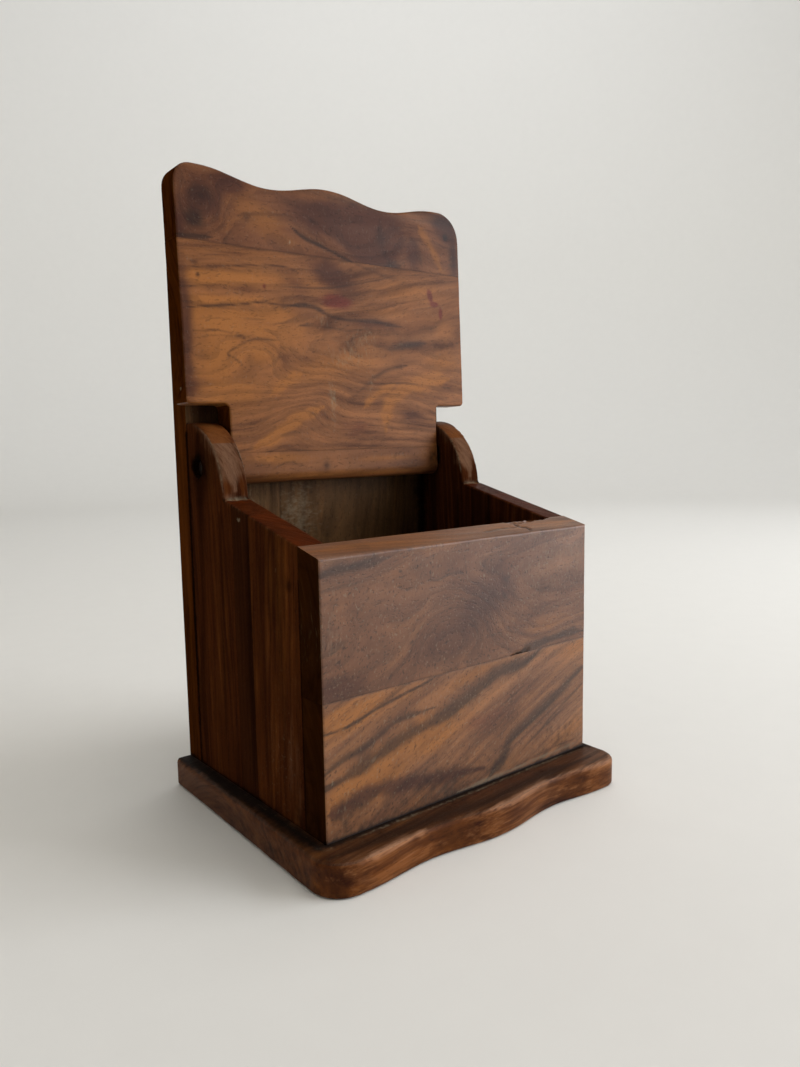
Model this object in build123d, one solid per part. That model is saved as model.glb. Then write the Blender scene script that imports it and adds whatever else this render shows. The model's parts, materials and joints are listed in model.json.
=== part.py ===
from build123d import *
import os
from math import acos, atan2, cos, degrees, hypot, radians, sin, tan

# Wall-hung wooden salt box with a hinged lid, shown with the lid standing open.
# Millimetres. X runs to the right, Y into the wall, Z up.
# The origin is on the wall plane, in the middle of the base's lower back edge.

# ---- driving dimensions: the box ----
body_width = 135.0            # outside to outside of the two sides
box_depth = 105.5             # wall plane to the front face
front_height = 97.0           # base top to the outer top edge of the front
rim_slope = 14.0              # degrees by which the rim falls towards the front
base_thickness = 12.0
back_thickness = 11.5
side_thickness = 11.0
front_thickness = 12.5

# ---- base ----
base_overhang = 6.0           # past each side at the wall
base_left_splay = 3.0         # the left side's extra overhang at the front
base_right_splay = -2.5       # and the right side's, which is cut back
base_front_overhangs = (15.6, 13.5, 17.4, 14.1, 16.9)    # past the front: each crest and hollow
base_wave_steps = (-1.0, -0.56, 0.0, 0.5, 1.0)           # where they lie, as shares of the spacing
base_crest_inset = 12.5       # side edge at the wall to the outer crests
base_left_radius = 12.0
base_right_radius = 9.0
base_top_ease = 2.0           # rounding of the upper edge
base_bottom_ease = 1.2        # rounding of the lower edge

# ---- back ----
back_height = 215.0           # above the base top
back_corner_radius = 10.0
back_top_rounding = 2.0       # front top edge, on which the open lid leans
back_seam = 42.5              # left edge to the glue seam
hanger_drop = 14.0            # top edge to the hanging hole
hanger_radius = 2.5
hanger_sink_radius = 4.8

# ---- sides ----
ear_rise = 17.9               # pivot to the flat top of the ear
ear_reach = 20.7              # pivot to the foot of the ear
ear_flat = 2.2                # back board to the start of the ear's curve
ear_foot_rounding = 1.5
rear_board_width = 35.8       # back board to the first seam of a side
middle_board_width = 12.5     # first to second seam
front_seam = 48.5             # base top to the seam of the front
edge_ease = 0.8               # rounding of the worn outer edges

# ---- lid ----
lid_thickness = 11.0
lid_overhang = 5.5            # past each side
lid_length = 113.95           # pivot to the middle of the wavy edge
lid_wave = 2.15               # half the height from crest to hollow
lid_crest_spacing = 60.0
lid_wave_shift = -2.0         # the wave lies a little to the left
lid_left_radius = 8.0
lid_right_radius = 12.5
lid_shoulder = 25.0           # pivot to the shoulders above the notches
lid_notch_radius = 2.0
lid_edge_seam = 87.3          # pivot to the seam of the edge board
hinge_strip_seam = 5.3        # pivot to the seam of the hinge strip
hinge_strip_end = 7.4         # pivot to the hinge edge
hinge_edge_radius = 4.5
tongue_clearance = 1.5        # tongue to each side
closed_gap = 0.5              # rim to the underside of the closed lid
open_gap = 0.3                # leaning lid to the top of the back
pivot_setback = 9.0           # back board's face to the pivot axis

# ---- screws ----
hinge_shank_radius = 2.2
hinge_head_radius = 3.5
hinge_head_height = 2.4
hinge_grip = 22.0             # length of shank in the lid
hinge_sink_radius = 4.0
hinge_sink_depth = 5.0
hinge_head_gap = 0.3          # head to the floor of its recess
running_clearance = 0.05      # shank in the ear
screw_radius = 1.75
screw_head_radius = 3.5
screw_length = 30.0
screw_point = 4.0
screw_clearance = 0.05        # screw in its hole; the thread is left out
slot_width = 0.9
slot_depth = 0.9
base_screw_places = (35.0, 80.0)        # wall to the screws in each side
base_back_screw = 20.0                  # middle to the screw in the back
back_screw_places = (28.0, 68.0, 108.0)  # base top to the screws in each side

# ---- derived places ----
half_body = body_width / 2
half_base = half_body + base_overhang
half_lid = half_body + lid_overhang
half_tongue = half_body - side_thickness - tongue_clearance
slope = radians(rim_slope)
back_face = -back_thickness
front_joint = -(box_depth - front_thickness)
side_middle = half_body - side_thickness / 2
back_top = base_thickness + back_height


def rim_height(y):
    """Height of the sloping rim plane at depth y."""
    return base_thickness + front_height + (y + box_depth) * tan(slope)


pivot_y = back_face - pivot_setback
pivot_z = rim_height(pivot_y) + (lid_thickness / 2 + closed_gap) / cos(slope)
ear_foot = pivot_y - ear_reach
ear_top = pivot_z + ear_rise

# The open lid leans on the rounded top edge of the back. The edge's centre lies a distance
# of (rounding + half the lid + gap) behind the lid's middle plane, which fixes the lean.
edge_back = pivot_setback + back_top_rounding
edge_up = back_top - back_top_rounding - pivot_z
lean_offset = back_top_rounding + lid_thickness / 2 + open_gap
lean = acos(lean_offset / hypot(edge_back, edge_up)) - atan2(edge_up, edge_back)
closing_angle = 90 + degrees(lean) + rim_slope

# Lid frame: X across, Y from the pivot to the free edge, Z out of the face seen when open.
lid_plane = Plane(
    origin=(0, pivot_y, pivot_z),
    x_dir=(1, 0, 0),
    z_dir=(0, -cos(lean), sin(lean)),
)


def slab(shape, axis, low, high):
    """The part of a shape that lies between two distances along X, Y or Z (0, 1 or 2)."""
    reach = 4 * (body_width + box_depth + back_height)
    size = [reach, reach, reach]
    centre = [0.0, 0.0, 0.0]
    size[axis] = high - low
    centre[axis] = (high + low) / 2
    return shape & (Pos(*centre) * Box(*size))


def facing(origin, direction):
    """Location at a point, with its Z axis along a direction."""
    return Plane(origin=origin, z_dir=direction).location


def turned(*points):
    """Solid of revolution about Z from the (radius, height) corners of its profile."""
    return revolve(make_face(Plane.XZ * Polyline(*points, close=True)), Axis.Z)


def edges_higher_than(face, height):
    """Edges of a face that lie wholly above a height."""
    return [edge for edge in face.edges() if edge.bounding_box().min.Z > height]


def edge_at(shape, axis, point):
    """The edge parallel to an axis that lies nearest to a point."""
    return shape.edges().filter_by(axis).sort_by_distance(point)[0]


def wave(places, levels):
    """Serpentine edge along X: three crests and two hollows, level at both ends."""
    return Spline(*zip(places, levels), tangents=((1, 0), (1, 0)))


# ---- screws: each stands head up at the origin, with its shank along -Z ----


def countersunk_screw(extra=0.0):
    """Slotted wood screw, or with some extra the hole that it needs."""
    radius = screw_radius + extra
    head = screw_head_radius + extra
    tip = -screw_length - extra
    shape = turned((0, 0), (head, 0), (radius, radius - head), (radius, tip + screw_point), (0, tip))
    if extra:
        return shape
    return shape - Pos(0, 0, -slot_depth / 2) * Box(2 * head, slot_width, slot_depth)


def base_screws(extra=0.0):
    """The screws that come up through the base into the sides, the front and the back."""
    places = [(hand * side_middle, -y) for hand in (-1, 1) for y in base_screw_places]
    places.append((0, front_joint - front_thickness / 2))
    places.append((base_back_screw, back_face / 2))
    return Compound([facing((x, y, 0), (0, 0, -1)) * countersunk_screw(extra) for x, y in places])


def back_screws(extra=0.0):
    """The screws that go through the back into the rear edges of the sides."""
    places = [(hand * side_middle, base_thickness + z) for hand in (-1, 1) for z in back_screw_places]
    return Compound([facing((x, 0, z), (0, 1, 0)) * countersunk_screw(extra) for x, z in places])


def hinge_screw():
    """Screw that the lid turns on: flat head, plain shank, point."""
    underside = -hinge_head_height
    tip = -(side_thickness - hinge_sink_depth + hinge_head_gap + hinge_head_height)
    tip -= tongue_clearance + hinge_grip
    shape = turned(
        (0, 0),
        (hinge_head_radius, 0),
        (hinge_head_radius, underside),
        (hinge_shank_radius, underside),
        (hinge_shank_radius, tip + screw_point),
        (0, tip),
    )
    return shape - Pos(0, 0, -slot_depth / 2) * Box(2 * hinge_head_radius, slot_width, slot_depth)


def hinge_recess():
    """Hole for a hinge screw, from the outer face of a side into the lid's strip."""
    tip = -(side_thickness + tongue_clearance + hinge_grip + screw_clearance)
    bore = hinge_shank_radius + running_clearance
    return turned(
        (0, 0),
        (hinge_sink_radius, 0),
        (hinge_sink_radius, -hinge_sink_depth),
        (bore, -hinge_sink_depth),
        (bore, tip + screw_point),
        (0, tip),
    )


def at_hinge(hand, depth):
    """Location on the pivot axis, a depth inside the outer face of one side."""
    return facing((hand * (half_body - depth), pivot_y, pivot_z), (hand, 0, 0))


# ---- boards, each panel made whole and then parted at its glue seams ----


def make_base():
    """Base board: serpentine front edge, sides out of square, rounded front corners, eased edges."""
    spacing = half_base - base_crest_inset
    levels = [-(box_depth + overhang) for overhang in base_front_overhangs]
    front = wave([spacing * step for step in base_wave_steps], levels)
    left_corner = (-half_base - base_left_splay, levels[0])
    right_corner = (half_base + base_right_splay, levels[-1])
    rest = Polyline(
        front @ 1,
        right_corner,
        (half_base, 0),
        (-half_base, 0),
        left_corner,
        front @ 0,
    )
    board = extrude(make_face(Curve() + [front, rest]), base_thickness)
    for corner, radius in ((left_corner, base_left_radius), (right_corner, base_right_radius)):
        board = fillet(edge_at(board, Axis.Z, (*corner, 0)), radius)
    for level, radius in ((-1, base_top_ease), (0, base_bottom_ease)):
        face = board.faces().sort_by(Axis.Z)[level]
        board = fillet([edge for edge in face.edges() if (edge @ 0.5).Y < -radius], radius)
    return board - base_screws(screw_clearance)


def make_back():
    """Whole back: upright board with rounded top corners and a countersunk hanging hole."""
    blank = Pos(0, back_face / 2, base_thickness + back_height / 2) * Box(
        body_width, back_thickness, back_height
    )
    board = fillet(edge_at(blank, Axis.X, (0, back_face, back_top)), back_top_rounding)
    corners = [edge_at(blank, Axis.Y, (hand * half_body, 0, back_top)) for hand in (-1, 1)]
    board &= fillet(corners, back_corner_radius)
    sink = hanger_sink_radius - hanger_radius
    hole = turned(
        (0, 0),
        (hanger_sink_radius, 0),
        (hanger_radius, -sink),
        (hanger_radius, -back_thickness),
        (0, -back_thickness),
    )
    board -= facing((0, back_face, back_top - hanger_drop), (0, -1, 0)) * hole
    return board - base_screws(screw_clearance) - back_screws(screw_clearance)


def make_side(hand):
    """Whole side: sloping rim, and an ear with a quarter-ellipse front that holds the hinge."""
    foot_height = rim_height(ear_foot)
    curve_start = back_face - ear_flat
    centre = (curve_start, foot_height)
    curve = EllipticalCenterArc(centre, curve_start - ear_foot, ear_top - foot_height, 90, arc_size=90)
    rest = Polyline(
        curve @ 1,
        (front_joint, rim_height(front_joint)),
        (front_joint, base_thickness),
        (back_face, base_thickness),
        (back_face, ear_top),
        curve @ 0,
    )
    board = extrude(make_face(Plane.YZ * (Curve() + [curve, rest])), side_thickness / 2, both=True)
    board = fillet(edge_at(board, Axis.X, (0, ear_foot, foot_height)), ear_foot_rounding)
    rim_start = rim_height(front_joint) - edge_ease
    for end in (0, -1):
        face = board.faces().filter_by(Axis.X).sort_by(Axis.X)[end]
        board = fillet(edges_higher_than(face, rim_start), edge_ease)
    board = Pos(hand * side_middle, 0, 0) * board
    board -= at_hinge(hand, 0) * hinge_recess()
    return board - base_screws(screw_clearance) - back_screws(screw_clearance)


def make_front():
    """Whole front: it laps over the ends of the sides, and its top follows the rim's slope."""
    outline = Polyline(
        (-box_depth, base_thickness),
        (-box_depth, rim_height(-box_depth)),
        (front_joint, rim_height(front_joint)),
        (front_joint, base_thickness),
        close=True,
    )
    board = extrude(make_face(Plane.YZ * outline), half_body, both=True)
    outer = board.faces().sort_by(Axis.Y)[0]
    worn = [edge for edge in outer.edges() if edge.center().Z > base_thickness + edge_ease]
    return fillet(worn, edge_ease) - base_screws(screw_clearance)


def make_lid():
    """Lid above its hinge strip, lying flat: X across, Y from the pivot to the wavy edge."""
    crest = lid_length + lid_wave
    steps = (-1.0, -0.5, 0.0, 0.5, 1.0)
    places = [lid_wave_shift + lid_crest_spacing * step for step in steps]
    levels = [lid_length + lid_wave * side for side in (1, -1, 1, -1, 1)]
    top = wave(places, levels)
    shoulders = [(hand * across, lid_shoulder) for hand in (-1, 1) for across in (half_lid, half_tongue)]
    rest = Polyline(
        top @ 1,
        (half_lid, crest),
        (half_lid, lid_shoulder),
        (half_tongue, lid_shoulder),
        (half_tongue, 0),
        (-half_tongue, 0),
        (-half_tongue, lid_shoulder),
        (-half_lid, lid_shoulder),
        (-half_lid, crest),
        top @ 0,
    )
    board = extrude(make_face(Curve() + [top, rest]), lid_thickness / 2, both=True)
    rounded = [((x, y, 0), lid_notch_radius) for x, y in shoulders]
    rounded += [((-half_lid, crest, 0), lid_left_radius), ((half_lid, crest, 0), lid_right_radius)]
    for corner, radius in rounded:
        board = fillet(edge_at(board, Axis.Z, corner), radius)
    for end in (0, -1):
        face = board.faces().filter_by(Axis.Z).sort_by(Axis.Z)[end]
        worn = [edge for edge in face.edges() if (edge @ 0.5).Y > edge_ease]
        board = fillet(worn, edge_ease)
    return slab(board, 1, hinge_strip_seam, crest + lid_wave)


def make_hinge_strip():
    """Strip at the end of the tongue, lying flat, with a rounded hinge edge."""
    width = hinge_strip_seam + hinge_strip_end
    middle = (hinge_strip_seam - hinge_strip_end) / 2
    strip = Pos(0, middle, 0) * Box(2 * half_tongue, width, lid_thickness)
    hinge_edges = strip.edges().filter_by(Axis.X).sort_by(Axis.Y)[:2]
    strip = fillet(hinge_edges, hinge_edge_radius)
    for end in (0, -1):
        face = strip.faces().filter_by(Axis.X).sort_by(Axis.X)[end]
        worn = [edge for edge in face.edges() if (edge @ 0.5).Y < hinge_strip_seam - edge_ease]
        strip = fillet(worn, edge_ease)
    for hand in (-1, 1):
        bore = facing((hand * half_body, 0, 0), (hand, 0, 0)) * hinge_recess()
        strip -= bore
    return strip


def side_boards(hand, name):
    """The three boards of one side, from the back to the front."""
    side = make_side(hand)
    first_seam = back_face - rear_board_width
    second_seam = first_seam - middle_board_width
    return {
        f"{name}_side_rear_board": slab(side, 1, first_seam, 0),
        f"{name}_side_middle_board": slab(side, 1, second_seam, first_seam),
        f"{name}_side_front_board": slab(side, 1, 2 * front_joint, second_seam),
    }


def make_nodes():
    """Every node of the object by name, in place, with the lid open."""
    nodes = {"base_board": make_base()}
    back = make_back()
    seam = back_seam - half_body
    nodes["back_board_left"] = slab(back, 0, -body_width, seam)
    nodes["back_board_right"] = slab(back, 0, seam, body_width)
    for hand, name in ((-1, "left"), (1, "right")):
        nodes.update(side_boards(hand, name))
    front = make_front()
    seam = base_thickness + front_seam
    nodes["front_lower_board"] = slab(front, 2, 0, seam)
    nodes["front_upper_board"] = slab(front, 2, seam, 2 * rim_height(0))
    lid = make_lid()
    nodes["lid_main_board"] = lid_plane.location * slab(lid, 1, 0, lid_edge_seam)
    nodes["lid_edge_board"] = lid_plane.location * slab(lid, 1, lid_edge_seam, 2 * lid_length)
    nodes["lid_hinge_strip"] = lid_plane.location * make_hinge_strip()
    head_depth = hinge_sink_depth - hinge_head_gap - hinge_head_height
    for hand, name in ((-1, "left"), (1, "right")):
        nodes[f"hinge_screw_{name}"] = at_hinge(hand, head_depth) * hinge_screw()
    nodes["base_screws"] = base_screws()
    nodes["back_screws"] = back_screws()
    return nodes


os.makedirs("parts", exist_ok=True)
for node, shape in make_nodes().items():
    export_step(shape, f"parts/{node}.step")
print(f"pivot at y {pivot_y:.3f}, z {pivot_z:.3f}")
print(f"lean {degrees(lean):.3f}, closing angle {closing_angle:.3f} degrees")
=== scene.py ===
"""Wooden salt box with a hinged lid: its boards, its screws and a small studio round it."""
import json
import math
from typing import NamedTuple

import bpy
import numpy as np
from bpy.props import FloatProperty, FloatVectorProperty, PointerProperty
from mathutils import Matrix, Vector


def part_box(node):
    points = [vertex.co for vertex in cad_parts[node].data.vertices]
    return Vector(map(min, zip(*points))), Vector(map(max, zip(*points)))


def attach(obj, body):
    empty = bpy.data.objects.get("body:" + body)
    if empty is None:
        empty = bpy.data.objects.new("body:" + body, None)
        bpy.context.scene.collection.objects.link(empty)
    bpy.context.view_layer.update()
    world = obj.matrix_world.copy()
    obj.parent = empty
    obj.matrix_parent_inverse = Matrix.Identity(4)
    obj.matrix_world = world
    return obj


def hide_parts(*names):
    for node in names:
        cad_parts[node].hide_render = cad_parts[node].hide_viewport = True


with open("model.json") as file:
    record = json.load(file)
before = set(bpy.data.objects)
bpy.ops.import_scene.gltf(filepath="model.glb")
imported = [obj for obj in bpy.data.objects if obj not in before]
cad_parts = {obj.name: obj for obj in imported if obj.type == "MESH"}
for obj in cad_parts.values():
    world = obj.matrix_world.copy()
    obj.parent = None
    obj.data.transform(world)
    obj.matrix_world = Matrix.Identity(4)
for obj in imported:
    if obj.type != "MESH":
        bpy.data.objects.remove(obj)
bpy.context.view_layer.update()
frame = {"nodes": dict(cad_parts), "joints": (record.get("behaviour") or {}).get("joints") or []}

bl_info = {
    "name": "Wooden salt box",
    "version": (1, 0, 0),
    "blender": (4, 5, 0),
    "location": "View3D > Sidebar > Salt box",
    "description": "Builds the worn walnut boards, the screws and the studio of a salt box",
    "category": "Add Mesh",
}

MM = 0.001

# ---- places read from the frame, in millimetres ----


def span(node):
    """Lowest and highest corner of a CAD node, in millimetres."""
    low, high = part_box(node)
    return np.array(low) / MM, np.array(high) / MM


base_high = span("base_board")[1]
lower_low = span("front_lower_board")[0]
upper_low, upper_high = span("front_upper_board")
rear_low, rear_high = span("left_side_rear_board")
back_low, back_high = span("back_board_left")
hinge = next(joint for joint in frame["joints"] if joint["name"] == "lid_hinge")
pivot = np.array(hinge["pos_m"]) / MM

rim_slope = math.radians(14.0)
lean = math.radians(hinge["range_deg"][1] - 90.0) - rim_slope
half_base = base_high[0]
half_body = upper_high[0]
half_lid = span("lid_main_board")[1][0]
half_tongue = span("lid_hinge_strip")[1][0]
base_top = lower_low[2]
front_seam = upper_low[2]
front_face = upper_low[1]
front_joint = upper_high[1]
first_seam = rear_low[1]
second_seam = span("left_side_middle_board")[0][1]
side_inner = -rear_high[0]
side_middle = (half_body + side_inner) / 2
back_face = back_low[1]
back_top = back_high[2]
back_seam = back_high[0]
ear_top = rear_high[2]


def rim_height(y):
    """Height of the sloping rim at a depth y."""
    return upper_high[2] + (y - front_joint) * math.tan(rim_slope)


# ---- numbers worked out on whole arrays ----


CELL_STEPS = np.array([127.1, 311.7, 74.7])     # how far the sine's angle moves on from cell to cell
SEED_STEP, SINE_HEIGHT = 17.31, 43758.5453


def lattice(cells, seed):
    """A fixed random value from -1 to 1 for each whole-number cell: the fraction of a large sine."""
    mixed = np.sin(cells @ CELL_STEPS + seed * SEED_STEP) * SINE_HEIGHT
    return 2 * (mixed - np.floor(mixed)) - 1


def noise(points, size, seed=0):
    """Smooth noise from -1 to 1: lattice values `size` mm apart, blended along each axis by 3t^2 - 2t^3."""
    cell = points / size
    low = np.floor(cell)
    t = cell - low
    t = t * t * (3 - 2 * t)
    total = np.zeros(len(points))
    for corner in np.ndindex(2, 2, 2):
        weight = np.prod(np.where(corner, t, 1 - t), axis=1)
        total += weight * lattice(low + corner, seed)
    return total


def rough_noise(points, size, seed=0):
    """Noise with finer noise on it: each of three layers has half the size and half the height."""
    layers = [noise(points, size / 2**k, seed + k) / 2**k for k in range(3)]
    return sum(layers) / 1.75


def smooth_curve(points, steps=8):
    """Points on the smooth curve through a few points: each span is a cubic whose slope at a point is
    half the way from the point before to the point after."""
    knots = np.array(points, float)
    padded = np.vstack([2 * knots[0] - knots[1], knots, 2 * knots[-1] - knots[-2]])
    slope = (padded[2:] - padded[:-2]) / 2
    t = np.linspace(0, 1, steps, endpoint=False)[None, :, None]
    p0, p1 = knots[:-1, None], knots[1:, None]
    m0, m1 = slope[:-1, None], slope[1:, None]
    spans = (
        (2 * t**3 - 3 * t**2 + 1) * p0
        + (t**3 - 2 * t**2 + t) * m0
        + (3 * t**2 - 2 * t**3) * p1
        + (t**3 - t**2) * m1
    )
    return np.vstack([spans.reshape(-1, knots.shape[1]), knots[-1]])


def nearest(points, line):
    """Distance from each point to a line of short stretches, the stretch it is nearest to, and how far
    along that stretch it is."""
    start, step = line[:-1], np.diff(line, axis=0)
    squared = np.maximum((step**2).sum(1), 1e-12)
    found = []
    for part in np.array_split(points, max(1, len(points) // 8192)):
        offset = part[:, None, :] - start
        t = np.clip((offset * step).sum(2) / squared, 0, 1)
        gap = ((offset - t[..., None] * step) ** 2).sum(2)
        best = gap.argmin(1)
        row = np.arange(len(part))
        found.append(np.column_stack([np.sqrt(gap[row, best]), best, t[row, best]]))
    distance, stretch, share = np.vstack(found).T
    return distance, stretch.astype(int), share


# ---- outlines: rows of (across, up, rounding of the edge that follows) ----


def line(start, end, count, rounding):
    """Points from a start towards an end, without the end."""
    t = np.linspace(0, 1, count, endpoint=False)[:, None]
    points = (1 - t) * np.array(start, float) + t * np.array(end, float)
    return np.column_stack([points, np.full(count, rounding)])


def arc(centre, radii, start, end, count, rounding):
    """Points on an ellipse without the last: centre + radii times (cos, sin) of an angle in degrees."""
    angle = np.radians(np.linspace(start, end, count, endpoint=False))
    points = np.array(centre) + np.column_stack([np.cos(angle), np.sin(angle)]) * radii
    return np.column_stack([points, np.full(count, rounding)])


def serpentine(places, levels, count, rounding):
    """Wavy points without the last, through crests and hollows. A share t of the way from one at level a
    to the next at level b, they lie at a + (b - a)(1 - cos(pi t)) / 2."""
    places, levels = np.array(places), np.array(levels)
    x = np.linspace(places[0], places[-1], count, endpoint=False)
    stretch = np.searchsorted(places, x, side="right") - 1
    t = (x - places[stretch]) / np.diff(places)[stretch]
    up = levels[stretch] + np.diff(levels)[stretch] * (1 - np.cos(np.pi * t)) / 2
    return np.column_stack([x, up, np.full(count, rounding)])


def path(*parts, end):
    """One outline side from its parts and its last point."""
    return np.vstack([*parts, [*end, parts[-1][-1, 2]]])


class Board(NamedTuple):
    """A board with two outline sides of as many points, joined by two straight ones."""

    lower: np.ndarray
    upper: np.ndarray
    depth: tuple            # lowest and highest place along the third axis
    axes: tuple             # the three directions: across, up and out
    origin: tuple = (0.0, 0.0, 0.0)
    rows: int = 60          # mesh rows from the lower to the upper side
    layers: int = 10        # mesh layers through the depth
    ends: tuple = (0.12, 0.12)      # rounding of the left and the right straight side
    faces: tuple = (1.0, 1.0)       # how much of its rounding each edge has: low and high face
    slope: float = 0.0      # how far the upper side falls for each mm of depth


SEAM = 0.3                  # an edge rounded less than this is a glued or seated one
SHARP = 0.3                 # sine of the turn from which an outline has a corner
CORNER_REACH = 6.0          # how far along the edge other points follow a corner


def outline(board):
    """The board's closed outline, counter-clockwise, with the rounding of each edge."""
    rise = np.linspace(0, 1, board.rows, endpoint=False)[:, None]
    lower, upper = board.lower, board.upper
    right = (1 - rise) * lower[-1, :2] + rise * upper[-1, :2]
    left = (1 - rise) * upper[0, :2] + rise * lower[0, :2]
    points = np.vstack([lower[:-1, :2], right, upper[:0:-1, :2], left])
    rounding = np.concatenate([
        lower[:-1, 2],
        np.full(board.rows, board.ends[1]),
        upper[-2::-1, 2],
        np.full(board.rows, board.ends[0]),
    ])
    return points, rounding


def inset(points, amount):
    """Moves a closed outline inwards, each edge by its own amount. Two edges that meet at a corner cross
    at its new place, and other points move along their mean normal. Those near a corner follow it along
    the edge, less and less, so that none is overtaken."""
    step = np.roll(points, -1, axis=0) - points
    length = np.linalg.norm(step, axis=1)
    ahead = step / length[:, None]
    after = np.column_stack([-ahead[:, 1], ahead[:, 0]])
    before = np.roll(after, 1, axis=0)
    into, out = np.roll(amount, 1), amount
    det = before[:, 0] * after[:, 1] - before[:, 1] * after[:, 0]
    corner = np.abs(det) > SHARP
    safe = np.where(corner, det, 1.0)
    crossing = np.column_stack([
        (into * after[:, 1] - out * before[:, 1]) / safe,
        (out * before[:, 0] - into * after[:, 0]) / safe,
    ])
    mean = before + after
    mean *= ((into + out) / (mean**2).sum(1).clip(1e-9))[:, None]

    place = np.concatenate([[0.0], np.cumsum(length)[:-1]])
    at = np.flatnonzero(corner)
    last = np.searchsorted(at, np.arange(len(points)), side="right") - 1
    following = (last + 1) % len(at)
    from_last = (place - place[at[last]]) % length.sum()
    to_next = (place[at[following]] - place) % length.sum()
    reach = np.minimum(CORNER_REACH, from_last + to_next).clip(1e-6)
    onward = (crossing * ahead).sum(1)[at]
    backward = -(crossing * np.roll(ahead, 1, axis=0)).sum(1)[at]
    slide = onward[last] * (1 - from_last / reach).clip(0)
    slide -= backward[following] * (1 - to_next / reach).clip(0)
    return points + np.where(corner[:, None], crossing, mean + ahead * slide[:, None])


def board_mesh(board, seed):
    """Points and four-sided faces of a board. Rings run round the outline: from the high face over a
    quarter-round edge, r(1 - sin) in and r(1 - cos) down, along the side and over the other edge. Both
    faces are grids: between the lower and upper side, plus what the straight sides bend away from them."""
    guard, least = 0.15, 0.03       # a band of face inside the rounding, and the least rounding
    points, rounding = outline(board)
    # The rounding varies along the edge, broadly by 22 % and finely by 8 %, and by board.
    flat = np.column_stack([points, np.full(len(points), 9.1 * seed)])
    uneven = 1 + 0.22 * noise(flat, 9.0, seed) + 0.08 * noise(flat, 2.5, seed + 1)
    rounding = np.where(rounding > SEAM, rounding * uneven, rounding)
    low, high = board.depth

    def edge(face, level, sign):
        """The rings from one face's border over its rounded edge; the sign is -1 for the high face."""
        radius = np.maximum(rounding * board.faces[face], least)
        drop = np.maximum(radius, np.roll(radius, 1))
        full = inset(points, radius) - points
        rings = [np.column_stack([inset(points, radius + guard), np.full(len(points), level)])]
        for angle in np.linspace(0, math.pi / 2, 5):
            place = points + full * (1 - math.sin(angle))
            rings.append(np.column_stack([place, level + sign * drop * (1 - math.cos(angle))]))
        return rings

    top, bottom = edge(1, high, -1.0), edge(0, low, 1.0)
    side = [(1 - t) * top[-1] + t * bottom[-1] for t in np.linspace(0, 1, board.layers + 1)[1:-1]]
    rings = np.array(top + side + bottom[::-1])

    n, m = len(board.lower) - 1, board.rows
    u = np.linspace(0, 1, n + 1)[None, :, None]
    v = np.linspace(0, 1, m + 1)[:, None, None]

    def face_grid(ring):
        """The points inside one ring, row by row."""
        below = ring[: n + 1]
        right = ring[n : n + m + 1]
        above = ring[n + m : 2 * n + m + 1][::-1]
        left = np.vstack([ring[2 * n + m :], ring[:1]])[::-1]
        corners = (
            (1 - u) * (1 - v) * below[0] + u * (1 - v) * below[-1]
            + (1 - u) * v * above[0] + u * v * above[-1]
        )
        return (1 - v) * below + v * above + (1 - u) * left[:, None] + u * right[:, None] - corners

    index = np.arange((n + 1) * (m + 1)).reshape(m + 1, n + 1)
    border = np.concatenate([index[0, :-1], index[:-1, -1], index[-1, :0:-1], index[:0:-1, 0]])
    between = 2 * index.size + np.arange((len(rings) - 2) * len(points)).reshape(-1, len(points))
    ring_index = np.vstack([border, between, border + index.size])
    around = np.roll(ring_index, -1, axis=1)
    cells = np.stack([index[:-1, :-1], index[:-1, 1:], index[1:, 1:], index[1:, :-1]], -1)
    walls = np.stack([ring_index[:-1], ring_index[1:], around[1:], around[:-1]], -1)
    faces = [cells.reshape(-1, 4), cells[..., ::-1].reshape(-1, 4) + index.size, walls.reshape(-1, 4)]
    grids = [face_grid(rings[0]), face_grid(rings[-1]), rings[1:-1]]
    return np.vstack([grid.reshape(-1, 3) for grid in grids]), np.vstack(faces)


def to_frame(board, points):
    """Board places to the shared frame. The upper side leans down towards the high face by the board's
    slope, and the rest with it in proportion to its height."""
    low, high = board.lower[:, 1].min(), board.upper[:, 1].max()
    share = (points[:, 1] - low) / (high - low)
    points = points.copy()
    points[:, 1] += share * (board.depth[1] - points[:, 2]) * board.slope
    return np.array(board.origin) + points @ np.array(board.axes)


def new_piece(name, points, faces):
    """A mesh object at the origin, from places in millimetres."""
    mesh = bpy.data.meshes.new(name)
    mesh.from_pydata((points * MM).tolist(), [], faces)
    piece = bpy.data.objects.new(name, mesh)
    bpy.context.scene.collection.objects.link(piece)
    return piece


class Hole(NamedTuple):
    """A round hole on a board: its mouth, its direction and its (radius, depth) profile."""

    mouth: tuple
    direction: tuple
    profile: tuple


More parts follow.
